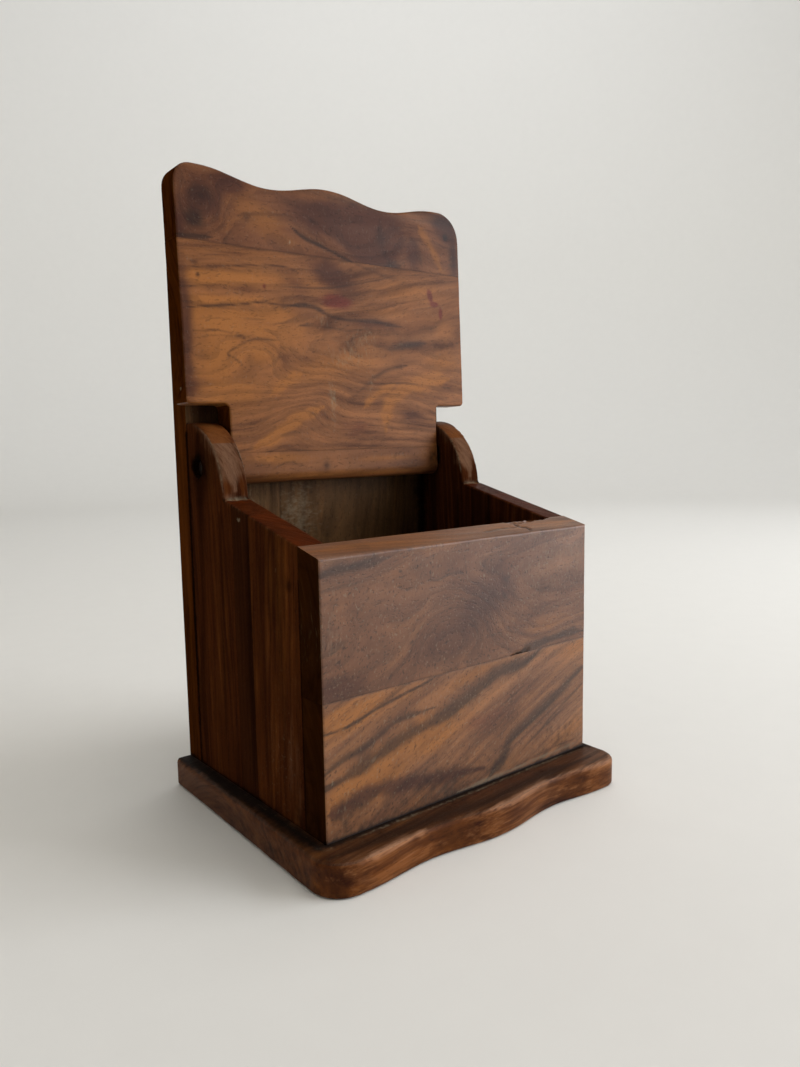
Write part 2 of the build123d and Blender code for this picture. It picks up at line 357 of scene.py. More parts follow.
def drill(piece, holes, count=48):
    """Cuts round holes. Each cutter is its profile carried round an axis: radius times (cos, sin)."""
    turn = np.linspace(0, 2 * np.pi, count, endpoint=False)
    circle = np.column_stack([np.cos(turn), np.sin(turn), np.zeros(count)])
    for hole in holes:
        radius, depth = np.array(hole.profile).T
        rings = circle * radius[:, None, None]
        rings[..., 2] = depth[:, None]
        turned = np.array(Vector(hole.direction).to_track_quat("Z", "Y").to_matrix())
        index = np.arange(len(radius) * count).reshape(len(radius), count)
        around = np.roll(index, -1, axis=1)
        walls = np.stack([index[:-1], around[:-1], around[1:], index[1:]], -1).reshape(-1, 4)
        faces = [*walls.tolist(), index[0, ::-1].tolist(), index[-1].tolist()]
        cutter = new_piece("cutter", rings.reshape(-1, 3) @ turned.T + np.array(hole.mouth), faces)
        cut = piece.modifiers.new("hole", "BOOLEAN")
        cut.operation = "DIFFERENCE"
        cut.solver = "EXACT"
        cut.object = cutter
        seen = piece.evaluated_get(bpy.context.evaluated_depsgraph_get())
        result = bpy.data.meshes.new_from_object(seen)
        piece.modifiers.remove(cut)
        piece.data = result
        bpy.data.objects.remove(cutter)


# ---- figure of the wood, worked out for each mesh point ----


class Stroke(NamedTuple):
    """A streak: the points it runs through, on the two seen axes or on all three, half its width and
    its strength. To the left of its run it is `soft` times as wide."""

    points: tuple
    width: float
    strength: float = 1.0
    soft: float = 1.0


PATCH_FADE = 5.0            # how far a patch on one face reaches into the wood


class Patch(NamedTuple):
    """An oval area: its middle, its half widths, its strength and its turn in degrees. It goes right
    through the board, or fades away from a place along the third axis."""

    across: float
    up: float
    half_across: float
    half_up: float
    strength: float = 1.0
    turn: float = 0.0
    out: float | None = None


class Timber(NamedTuple):
    """How a board was cut from its log, and the marks on it, in millimetres on the board. Some of the marks
    are painted shade, sheen or light.
    """

    seed: int
    fibres: int = 0                 # the board's axis that the fibres follow
    seen: tuple = (0, 1)            # the two axes that the marks are drawn on
    pith: tuple = (0.0, -40.0)      # the log's middle: beside and behind the board's middle
    tilt: tuple = (0.0, 0.0)        # its drift sideways and in depth, for each mm along the fibres
    wander: float = 2.0             # how far the rings stray
    base: tuple = (0.0, 0.0, 0.0, 0.0, 0.0)     # vein, honey, plum, dust and red all over the board
    swirls: tuple = ()              # patches whose strength pushes the rings apart, in mm
    veins: tuple = ()
    honey: tuple = ()
    plum: tuple = ()
    dust: tuple = ()
    red: tuple = ()
    worn: tuple = ()
    cuts: tuple = ()                # cracks, chips and nicks: streaks whose strength is their depth in mm


def patch_value(flat, patch, wobble, out=0.0):
    """exp(-q^2 - (d / fade)^2): q is the distance from the middle in half widths, strayed by noise, and d
    the distance in mm along the third axis."""
    turn = math.radians(patch.turn)
    x, y = flat[:, 0] - patch.across, flat[:, 1] - patch.up
    q = np.hypot(
        (x * math.cos(turn) + y * math.sin(turn)) / patch.half_across,
        (y * math.cos(turn) - x * math.sin(turn)) / patch.half_up,
    )
    away = 0.0 if patch.out is None else (out - patch.out) / PATCH_FADE
    return patch.strength * np.exp(-((q * (1 + 0.4 * wobble)) ** 2) - away**2)


def stroke_value(flat, stroke, wobble):
    """exp(-(d/w)^2): d is the distance to the streak's curve and w its half width, which noise varies
    and both ends narrow."""
    curve = smooth_curve(stroke.points)
    distance, stretch, share = nearest(flat, curve)
    step = np.diff(curve, axis=0)[stretch]
    offset = flat - curve[stretch]
    left = step[:, 0] * offset[:, 1] - step[:, 1] * offset[:, 0] > 0
    along = (stretch + share) / (len(curve) - 1)
    taper = (np.minimum(along, 1 - along) * 7).clip(0.25, 1)
    width = stroke.width * taper * np.where(left, stroke.soft, 1.0) * (1 + 0.5 * wobble)
    return stroke.strength * np.exp(-((distance / width.clip(0.15)) ** 2))


def wood_fields(board, timber, places):
    """Grain: distance along the fibres, distance from the pith line and distance round it, in mm.
    Marks: vein, honey, plum, dust, red and worn, from 0 to 1. Last, how deep cuts go, in mm."""
    others = [axis for axis in range(3) if axis != timber.fibres]
    middle = np.array([*(board.lower[:, :2].mean(0) + board.upper[:, :2].mean(0)) / 2, sum(board.depth) / 2])
    along, across, depth = (places - middle)[:, [timber.fibres, *others]].T
    slow = np.column_stack([along / 3.0, across, depth])
    stray = [rough_noise(slow, 26.0, timber.seed + 10 * k) * timber.wander for k in (1, 2)]
    beside = across - timber.pith[0] - timber.tilt[0] * along + stray[0]
    behind = depth - timber.pith[1] - timber.tilt[1] * along + stray[1]
    ring = np.hypot(beside, behind)
    broad = rough_noise(places, 16.0, timber.seed + 3)
    fine = rough_noise(places, 5.0, timber.seed + 4)
    flat = places[:, timber.seen]
    for swirl in timber.swirls:
        ring = ring + patch_value(flat, swirl, 0.5 * broad)
    apart = 97.0 * timber.seed      # so that no two boards show the same grain
    grain = np.column_stack([along, ring, behind + 0.4 * beside]) + apart

    def total(marks):
        """The sum of a kind's marks."""
        value = np.zeros(len(places))
        for mark in marks:
            if isinstance(mark, Patch):
                value += patch_value(flat, mark, broad + 0.5 * fine, places[:, 2])
            else:
                value += stroke_value(flat if len(mark.points[0]) == 2 else places, mark, fine)
        return value

    kinds = (timber.veins, timber.honey, timber.plum, timber.dust, timber.red, timber.worn)
    marks = [base + total(kind) for base, kind in zip((*timber.base, 0.0), kinds)]
    chipped = noise(places, 1.6, timber.seed + 5) + 0.7 * noise(places, 0.7, timber.seed + 6)
    depth_cut = total(timber.cuts) * (1 + 0.7 * chipped).clip(0.1)
    return grain, np.column_stack(marks).clip(0, 1), depth_cut


def edge_fields(board, places):
    """How near each point is to a worn edge, exp(-d / reach), and to a glued or seated one,
    exp(-(d / reach)^2), d being the distance in mm to the outline of the nearer face."""
    worn_reach, seam_reach = 0.9, 0.45
    least_bend = 0.004          # sine of the turn below which an outline counts as straight
    points, rounding = outline(board)
    step = np.roll(points, -1, axis=0) - points
    before = np.roll(step, 1, axis=0)
    bend = np.abs(step[:, 0] * before[:, 1] - step[:, 1] * before[:, 0])
    bend /= np.linalg.norm(step, axis=1) * np.linalg.norm(before, axis=1)
    keep = np.flatnonzero((bend > least_bend) | (np.roll(rounding, 1) != rounding))
    distance, stretch, _ = nearest(places[:, :2], np.vstack([points[keep], points[keep[:1]]]))
    worn = (rounding[keep] > SEAM)[stretch]
    to_face = np.minimum(places[:, 2] - board.depth[0], board.depth[1] - places[:, 2]).clip(0)
    return (
        np.where(worn, np.exp(-np.hypot(distance, to_face) / worn_reach), 0.0),
        np.where(worn, 0.0, np.exp(-((distance / seam_reach) ** 2))),
    )


class DirtAndShade(NamedTuple):
    """A joint where dirt has gathered and shade is painted: its two ends in the shared frame, its reach
    and its strength. Heights count `rise` times, so that dirt on the base climbs the boards only a little."""

    start: tuple
    end: tuple
    reach: float
    strength: float = 1.0
    rise: float = 1.0


def dirt_and_shade_field(places):
    """exp(-(d / reach)^1.4): d is the distance to a joint, strayed by noise. It is dirt and painted shade
    in the joints and corners.
    """
    wobble = 1 + 0.45 * rough_noise(places, 11.0, 71) + 0.3 * noise(places, 2.2, 72)
    total = np.zeros(len(places))
    for joint in DIRT_AND_SHADE:
        squash = np.array([1.0, 1.0, joint.rise])
        distance, _, _ = nearest(places * squash, np.array([joint.start, joint.end]) * squash)
        value = joint.strength * np.exp(-((distance / joint.reach * wobble) ** 1.4))
        total = np.maximum(total, value)
    return total


# ---- the boards of this box ----

UPRIGHT = ((1, 0, 0), (0, 0, 1), (0, -1, 0))        # across, up and out of a front or back board
SIDEWAYS = ((0, 1, 0), (0, 0, 1), (1, 0, 0))        # along the depth, up and across
LEVEL = ((1, 0, 0), (0, 1, 0), (0, 0, 1))           # across, along the depth and up
LID = ((1, 0, 0), (0, math.sin(lean), math.cos(lean)), (0, -math.cos(lean), math.sin(lean)))
WORN, JOINED = 0.8, 0.03    # rounding of a worn edge and of a glued one
MESH_STEP, FINE_STEP = 0.9, 0.8     # distance between two mesh points along an outline


def steps(length, spacing=MESH_STEP):
    """How many mesh steps a length gets."""
    return max(2, round(length / spacing))


def level_side(places, height, counts, rounding):
    """A straight outline side at one height, with as many points in each stretch as its opposite has."""
    parts = [
        line((a, height), (b, height), count, rounding)
        for a, b, count in zip(places, places[1:], counts)
    ]
    return path(*parts, end=(places[-1], height))


def base_board():
    """Base: a wavy front edge between round corners, and sides that are out of square. Each corner's arc
    touches the front line and its side: its middle is one radius from both."""
    overhangs, wave_steps, half_wave = (15.6, 13.5, 17.4, 14.1, 16.9), (-1.0, -0.56, 0.0, 0.5, 1.0), 61.0
    left_radius, right_radius, left_splay, right_splay = 12.0, 9.0, 3.0, -2.5
    ease, wall_ease = 1.2, 0.35
    levels = [front_face - overhang for overhang in overhangs]
    places = [half_wave * step for step in wave_steps]
    counts = (18, 4, steps(2 * half_wave), 2, 16)

    def corner(hand, splay, crest, radius):
        """The arc's middle, and how many degrees its side leans outwards."""
        turn = math.atan2(splay, -crest)
        up = crest + radius
        return (hand * (half_base + splay * up / crest - radius / math.cos(turn)), up), math.degrees(turn)

    left, left_turn = corner(-1, left_splay, levels[0], left_radius)
    right, right_turn = corner(1, right_splay, levels[-1], right_radius)
    last = math.radians(right_turn)
    lower = path(
        arc(left, left_radius, 180 - left_turn, 270, counts[0], ease),
        line((left[0], levels[0]), (places[0], levels[0]), counts[1], ease),
        serpentine(places, levels, counts[2], ease),
        line((places[-1], levels[-1]), (right[0], levels[-1]), counts[3], ease),
        arc(right, right_radius, 270, 360 + right_turn, counts[4], ease),
        end=(right[0] + right_radius * math.cos(last), right[1] + right_radius * math.sin(last)),
    )
    across = (-half_base, left[0], places[0], places[-1], right[0], half_base)
    upper = level_side(across, 0.0, counts, wall_ease)
    return Board(
        lower, upper, (0.0, base_high[2]), LEVEL, rows=120, layers=12, ends=(ease, ease), faces=(1.0, 1.7)
    )


def back_board(hand):
    """One board of the back, with a round corner at the top: hand -1 is the left one."""
    radius, ease, side_ease, bend = 10.0, 2.0, 0.5, 14
    edge = hand * half_body
    start, stop = min(edge, back_seam), max(edge, back_seam)
    curve = edge - hand * radius
    flat = steps(stop - start - radius)
    middle = (curve, back_top - radius)
    if hand < 0:
        top = arc(middle, radius, 180, 90, bend, ease), line((curve, back_top), (stop, back_top), flat, ease)
        counts, ends, end = (bend, flat), (side_ease, JOINED), (stop, back_top)
    else:
        top = line((start, back_top), (curve, back_top), flat, ease), arc(middle, radius, 90, 0, bend, ease)
        counts, ends, end = (flat, bend), (JOINED, side_ease), (stop, back_top - radius)
    lower = level_side((start, curve, stop), back_low[2], counts, JOINED)
    upper = path(*top, end=end)
    return Board(
        lower, upper, (0.0, -back_face), UPRIGHT, rows=210, layers=11, ends=ends, faces=(0.5, 1.0)
    )


def side_depth(hand):
    """The two faces of a side: hand -1 is the left one."""
    return tuple(sorted((hand * side_inner, hand * half_body)))


def rim_board(start, stop, hand):
    """A board of a side whose top follows the rim."""
    count = steps(stop - start)
    end = (stop, rim_height(stop))
    upper = path(line((start, rim_height(start)), end, count, WORN), end=end)
    lower = level_side((start, stop), base_top, (count,), JOINED)
    return Board(lower, upper, side_depth(hand), SIDEWAYS, rows=110, layers=11)


def ear_board(hand):
    """The rear board of a side. Its ear is a quarter of an ellipse on a small hollow at its foot."""
    ear_depth, flat_depth, hollow = 20.7, 2.2, 1.5
    foot = pivot[1] - ear_depth
    flat = back_face - flat_depth
    low = rim_height(foot)
    centre = (foot - hollow, low - hollow * math.tan(rim_slope) + hollow / math.cos(rim_slope))
    touch = (centre[0] + hollow * math.sin(rim_slope), centre[1] - hollow * math.cos(rim_slope))
    radii = (flat - foot, ear_top - low)
    first = 180 - math.degrees(math.asin((centre[1] - low) / radii[1]))
    counts = (steps(touch[0] - first_seam), 7, 52, 3)
    upper = path(
        line((first_seam, rim_height(first_seam)), touch, counts[0], WORN),
        arc(centre, hollow, -90 + math.degrees(rim_slope), 0, counts[1], WORN),
        arc((flat, low), radii, first, 90, counts[2], WORN),
        line((flat, ear_top), (back_face, ear_top), counts[3], WORN),
        end=(back_face, ear_top),
    )
    lower = level_side((first_seam, touch[0], foot + 0.7, flat, back_face), base_top, counts, JOINED)
    return Board(lower, upper, side_depth(hand), SIDEWAYS, rows=140, layers=11)


def front_board(top):
    """One board of the front; the upper one's top falls towards its outer face."""
    low, high = (front_seam, rim_height(front_face)) if top else (base_top, front_seam)
    count = steps(2 * half_body, 0.6 if top else FINE_STEP)
    lower, upper = (
        level_side((-half_body, half_body), height, (count,), ease)
        for height, ease in ((low, JOINED), (high, WORN if top else JOINED))
    )
    return Board(
        lower, upper, (-front_joint, -front_face), UPRIGHT, rows=66, layers=20 if top else 13,
        ends=(WORN, WORN), faces=(0.4, 1.0), slope=math.tan(rim_slope) if top else 0.0,
    )


LID_SEAM, STRIP_SEAM, SHOULDER = 87.3, 5.3, 25.0
HALF_LID = (-5.5, 5.5)


def lid_main_board():
    """The lid between its seams, with a round-cornered notch at each side of the tongue."""
    r, bend = 2.0, 6
    out, tongue, shoulder = half_lid, half_tongue, SHOULDER
    down = steps(shoulder - r - STRIP_SEAM)
    wide = steps(out - tongue - 2 * r)
    middle = steps(2 * tongue, FINE_STEP)
    lower = path(
        arc((-out + r, shoulder + r), r, 180, 270, bend, WORN),
        line((-out + r, shoulder), (-tongue - r, shoulder), wide, WORN),
        arc((-tongue - r, shoulder - r), r, 90, 0, bend, WORN),
        line((-tongue, shoulder - r), (-tongue, STRIP_SEAM), down, WORN),
        line((-tongue, STRIP_SEAM), (tongue, STRIP_SEAM), middle, JOINED),
        line((tongue, STRIP_SEAM), (tongue, shoulder - r), down, WORN),
        arc((tongue + r, shoulder - r), r, 180, 90, bend, WORN),
        line((tongue + r, shoulder), (out - r, shoulder), wide, WORN),
        arc((out - r, shoulder + r), r, 270, 360, bend, WORN),
        end=(out, shoulder + r),
    )
    # The seam opposite gets as many points, crowded where the lower side turns.
    half = (out, out - 1.6, tongue + 4.0, tongue + 2.5, tongue - 5.0)
    places = (*(-x for x in half), *reversed(half))
    upper = level_side(places, LID_SEAM, (bend, wide, bend, down, middle, down, bend, wide, bend), JOINED)
    return Board(lower, upper, HALF_LID, LID, tuple(pivot), rows=84, layers=11, ends=(WORN, WORN))


def lid_edge_board():
    """The lid's free edge: three crests and two hollows between two round corners."""
    middle, height, shift, half_wave = 113.95, 2.15, -2.0, 60.0
    left, right, ease = 8.0, 12.5, 1.0
    crest, hollow = middle + height, middle - height
    places = [shift + half_wave * step for step in (-1.0, -0.5, 0.0, 0.5, 1.0)]
    start, stop = places[0], places[-1]
    counts = (14, 3, steps(stop - start, FINE_STEP), 3, 20)
    upper = path(
        arc((left - half_lid, crest - left), left, 180, 90, counts[0], ease),
        line((left - half_lid, crest), (start, crest), counts[1], ease),
        serpentine(places, (crest, hollow, crest, hollow, crest), counts[2], ease),
        line((stop, crest), (half_lid - right, crest), counts[3], ease),
        arc((half_lid - right, crest - right), right, 90, 0, counts[4], ease),
        end=(half_lid, crest - right),
    )
    across = (-half_lid, left - half_lid, start, stop, half_lid - right, half_lid)
    lower = level_side(across, LID_SEAM, counts, JOINED)
    return Board(lower, upper, HALF_LID, LID, tuple(pivot), rows=34, layers=11, ends=(WORN, WORN))


def lid_hinge_strip():
    """The strip that the lid turns in: its end is drawn along the lid's side, and runs across it."""
    end, r, half, ease = -7.4, 4.5, HALF_LID[1], 0.5
    lower = path(
        arc((end + r, r - half), r, 180, 270, 10, ease),
        line((end + r, -half), (STRIP_SEAM, -half), 11, ease),
        end=(STRIP_SEAM, -half),
    )
    axes = (LID[1], LID[2], LID[0])
    depth = (-half_tongue, half_tongue)
    return Board(lower, lower * (1, -1, 1), depth, axes, tuple(pivot), rows=8, layers=130, ends=(ease, ease))


# ---- their holes ----

# Profiles: (radius, depth below the mouth)
SCREW = ((4.05, -0.5), (1.8, 1.75), (1.8, 5.0))
HINGE = ((4.0, -0.5), (4.0, 5.0), (2.25, 5.0), (2.25, 11.4))
HANGER = ((5.3, -0.5), (2.5, 2.3), (2.5, 12.0))
SCREW_HEIGHTS = (40, 80, 120)
base_screw_places = [(x, y) for x in (-side_middle, side_middle) for y in (-35, -80)]
base_screw_places += [(0, -99.25), (20, back_face / 2)]
base_holes = [Hole((x, y, 0), (0, 0, 1), SCREW) for x, y in base_screw_places]


def back_holes(hand):
    """The screw holes of one back board, and in the right one the hole that the box hangs by."""
    holes = [Hole((hand * side_middle, z, 0), (0, 0, 1), SCREW) for z in SCREW_HEIGHTS]
    return holes + [Hole((0, back_top - 14.0, -back_face), (0, 0, -1), HANGER)] * (hand > 0)


def hinge_hole(hand):
    """The recess and bore of a hinge screw, from the outer face of a side."""
    return Hole((pivot[1], pivot[2], hand * half_body), (0, 0, -hand), HINGE)


# ---- dirt and painted shade in the joints and corners ----

foot_place = pivot[1] - 21.2
ear_foot = (foot_place, rim_height(foot_place))
side_strip = -half_body - 2.2       # the base's narrow strip along the left side
DIRT_AND_SHADE = [
    DirtAndShade((-half_body, front_face, base_top), (half_body, front_face, base_top), 3.2, 0.85, 2.6),
    DirtAndShade((side_strip - 0.4, front_face, base_top), (side_strip, 0.0, base_top), 3.8, 0.8, 3.4),
    DirtAndShade((side_strip, -62.0, base_top), (side_strip, 0.0, base_top), 4.2, 1.0, 3.4),
    DirtAndShade((half_body, front_face, base_top), (half_body, 0.0, base_top), 4.0, 0.9, 2.0),
    DirtAndShade((-half_body, front_joint, base_top), (-half_body, front_joint, 100.0), 0.6, 0.7),
    DirtAndShade((-half_body, back_face, base_top), (-half_body, back_face, 150.0), 1.2, 0.9),
    # The three inside the box paint the shade of its corners, with dirt.
    DirtAndShade((-side_inner, back_face, base_top), (-side_inner, back_face, 150.0), 4.0, 0.7),
    DirtAndShade((side_inner, back_face, base_top), (side_inner, back_face, 150.0), 4.5, 0.8),
    DirtAndShade((-side_inner, front_joint, base_top), (side_inner, front_joint, base_top), 12.0, 0.9),
]
# The ears' feet and the hinge recesses get dirt and painted shade.
for outer, inner, past in ((-half_body, -side_inner, -0.5), (half_body, side_inner, 0.5)):
    DIRT_AND_SHADE.append(DirtAndShade((outer, *ear_foot), (inner, *ear_foot), 1.3, 0.7))
    DIRT_AND_SHADE.append(DirtAndShade((outer + past, *pivot[1:]), (inner, *pivot[1:]), 4.2, 2.2))

# ---- their timber ----

base_timber = Timber(
    seed=1, pith=(30.0, -30.0), tilt=(0.12, 0.05), base=(0.1, 0.0, 0.15, 0.0, 0.0),
    veins=(
        Stroke(((-73, -20), (-40, -14), (0, -18), (40, -12), (73, -16)), 4.0, 0.6),
        Stroke(((-72, -113, 12), (-40, -114, 12), (-18, -115, 12), (0, -117, 12), (25, -115, 12),
            (60, -115, 12)), 4.2, 0.75),
        # This streak, with the pale one on the left face among the dust, paints the base's left face darker
        # and greyer, as shade.
        Stroke(((-73.8, -2, 5), (-74.6, -40, 5), (-75.4, -75, 5)), 5.0, 0.4),
        # These dark streaks on the wavy front, with the plum and honey at its corner and the honey and wide
        # worn strokes below, are painted sheen and shade: dark where it turns from the light, pale where it
        # faces it.
        Stroke(((-76, -113, 6), (-73, -118, 6), (-68, -121, 6)), 6.0, 0.6),
        Stroke(((-30, -119, 5), (-20, -120.5, 5), (-12, -122, 5)), 4.0, 0.5),
        Stroke(((36, -119.8, 5), (44, -120.6, 5), (50, -121.6, 5)), 3.6, 0.5),
    ),
    # The honey strokes on the wavy front are partly painted highlights of its sheen.
    honey=(
        Stroke(((-60, -121.2, 6), (-50, -120, 6), (-40, -119.2, 6), (-32, -119, 6)), 7.0, 0.5),
        Stroke(((-16, -122.6, 6), (0, -123, 6), (14, -121.7, 6), (26, -119.9, 6)), 7.0, 0.42),
        Stroke(((50, -121.8, 6), (60, -122.4, 6), (70, -119.2, 6)), 7.0, 0.36),
        Stroke(((-76, -111, 4), (-71, -119.5, 3), (-64, -121.5, 3)), 4.0, 0.5),
        Patch(-30, -108.5, 30, 3, 0.2),
    ),
    # Its plum stroke is painted shade on the front-left corner.
    plum=(Stroke(((-76, -113, 6), (-72, -118.5, 6), (-66, -121, 6)), 6.0, 0.9), Patch(20, -111, 50, 5, 0.4)),
    dust=(
        Stroke(((-67.5, -107.6, 12), (-40, -107.4, 12), (0, -107.6, 12), (40, -107.0, 12),
            (67, -107.4, 12)), 1.0, 0.6),
        Stroke(((-69.4, -104, 12), (-69.4, -108, 12), (-66, -108.4, 12)), 1.2, 0.4),
        Stroke(((-69.2, -98, 12), (-69.2, -40, 12)), 0.5, 0.45),
        # This pale streak on the left face is part of its painted shade, making it greyer.
        Stroke(((-75.2, -70, 4), (-76, -95, 4), (-76.4, -110, 5)), 5.0, 0.25),
    ),
    # The narrow strokes are worn wood on the top edge with painted highlights; the wide ones paint the
    # front's sheen.
    worn=(
        Stroke(((-62, -120.2, 11.4), (-46, -118.6, 11.4), (-34, -118.0, 11.4)), 1.8, 0.45),
        Stroke(((-6, -121.9, 11.4), (6, -121.5, 11.4), (20, -119.8, 11.4), (31, -118.7, 11.4)), 1.8, 0.45),
        Stroke(((31, -118.7, 11.4), (46, -120.2, 11.4), (62, -121.5, 11.4), (69, -118, 11.4)), 1.8, 0.4),
        Stroke(((-74, -117, 7), (-58, -121, 7), (-46, -119.6, 6), (-28, -119, 5)), 8.0, 0.27),
        Stroke(((-22, -121.6, 5), (0, -123, 6), (18, -121, 6), (38, -119.2, 6)), 8.0, 0.29),
        Stroke(((42, -120.6, 5), (60, -122.4, 6), (70, -119, 6), (72, -106, 6)), 8.0, 0.27),
    ),
)
FACE = -back_face           # the front of the back boards, along their third axis
# A painted shadow of the lid on the front of the left back board, behind its notch: dark veins and plum.
painted_notch_shadow = Patch(-60, 164, 9, 20, 0.75, 12, FACE)
left_back_timber = Timber(
    seed=2, fibres=1, pith=(60.0, -25.0), base=(0.0, 0.1, 0.0, 0.0, 0.0), veins=(painted_notch_shadow,),
    # Beside the painted shadow, a pale patch on the inside of the back: salt dust with a painted pool of
    # light.
    plum=(painted_notch_shadow,), dust=(Patch(-46, 112, 11, 26, 0.8, 10, FACE),),
)
right_back_timber = Timber(
    seed=3, fibres=1, pith=(-20.0, -45.0), tilt=(0.06, 0.02), base=(0.1, 0.1, 0.1, 0.0, 0.0),
    # Painted shade: the first patch on the right part of the box's inside, the second behind the leaning
    # lid.
    veins=(Patch(48, 110, 34, 60, 0.45), Patch(20, 186, 50, 30, 0.4)),
    # The pale patch on the inside is salt dust with a painted pool of light.
    dust=(Patch(-16, 114, 13, 18, 0.6, 0, FACE),),
)


def ear_wear(hand):
    """Worn marks, dust and nicks on an ear's rounded face: hand -1 is the left side."""
    inner, middle, outer = hand * side_inner, hand * side_middle, hand * half_body
    curve = ((-40.9, 128), (-37.5, 139.6), (-31.4, 147.4), (-23.1, 152.5), (-14, 154.2))
    ledge = ((-42.4, 124.8, outer), (-42.0, 125.3, middle), (-42.5, 125.0, inner))
    chip = ((-39.6, 134.4, middle), (-39.5, 135.0, middle))

    def along(out, count=len(curve)):
        """The first points of the ear's curve at one place across the side's thickness."""
        return tuple((*place, out) for place in curve[:count])

    return {
        "worn": (
            Stroke(along(middle), 5.0, 0.95), Stroke(along(outer, 4), 1.0, 0.8), Stroke(ledge, 1.4, 0.9),
        ),
        "cuts": (Stroke(along(outer, 4), 1.0, 0.45), Stroke(ledge, 1.2, 0.6)),
        "dust": (
            Stroke(along(inner, 3), 0.8, 0.65), Stroke(along(outer, 4), 0.8, 0.6), Stroke(ledge, 1.1, 0.75),
            Stroke(chip, 0.5, 1.0),
        ),
    }


left_rear_timber = Timber(
    seed=4, fibres=1, pith=(-50.0, -30.0), tilt=(0.03, 0.0),
    veins=(
        Stroke(((-21.5, 150), (-21, 119.8), (-19.9, 83.2), (-15.9, 44.6), (-17.5, 8)), 3.4, 0.75),
        Stroke(((-39, 122), (-38.1, 109.3), (-36.2, 61.6), (-35.3, 24.6)), 1.8, 0.6),
        Patch(-24, 139, 12, 15, 0.75),
    ),
    honey=(Patch(-36, 84, 9, 46, 0.14), Patch(-28, 50, 6, 22, 0.12)),
    **ear_wear(-1),
)
left_middle_timber = Timber(
    seed=5, fibres=1, pith=(40.0, -20.0), base=(0.3, 0.0, 0.3, 0.0, 0.0),
    veins=(Stroke(((-58.6, 120), (-58.3, 70), (-57.4, 12)), 1.8, 0.6),),
    dust=(Patch(-52.9, 118.1, 1.6, 0.9, 1.0),),
)
left_front_timber = Timber(
    seed=6, fibres=1, pith=(-35.0, -40.0), tilt=(-0.04, 0.0), base=(0.0, 0.1, 0.0, 0.0, 0.0),
    veins=(
        Stroke(((-66, 118), (-67.5, 80), (-67, 45), (-69, 14)), 2.4, 0.55),
        Stroke(((-78, 116), (-80, 84), (-80.5, 40), (-79, 14)), 2.2, 0.5),
        Stroke(((-90, 112), (-91, 70), (-88, 30)), 1.6, 0.4), Patch(-86.8, 97.7, 1.8, 2.4, 1.0),
    ),
    honey=(Patch(-75, 97, 5, 20, 0.16), Patch(-83, 84, 5, 28, 0.14), Patch(-60, 58, 6, 9, 0.16)),
    # The broad dust patch low down and the two worn patches paint this board lighter towards the bottom:
    # painted light, with dust and wear.
    dust=(Patch(-78, 34, 20, 26, 0.2), Patch(-78.5, 102.2, 0.5, 0.5, 1.0)),
    worn=(Patch(-86, 32, 8, 26, 0.32), Patch(-70, 60, 5, 30, 0.16)),
)
right_rear_timber = left_rear_timber._replace(seed=7, veins=left_rear_timber.veins[:2], **ear_wear(1))
right_middle_timber = left_middle_timber._replace(seed=8, dust=())
right_front_timber = left_front_timber._replace(seed=9)
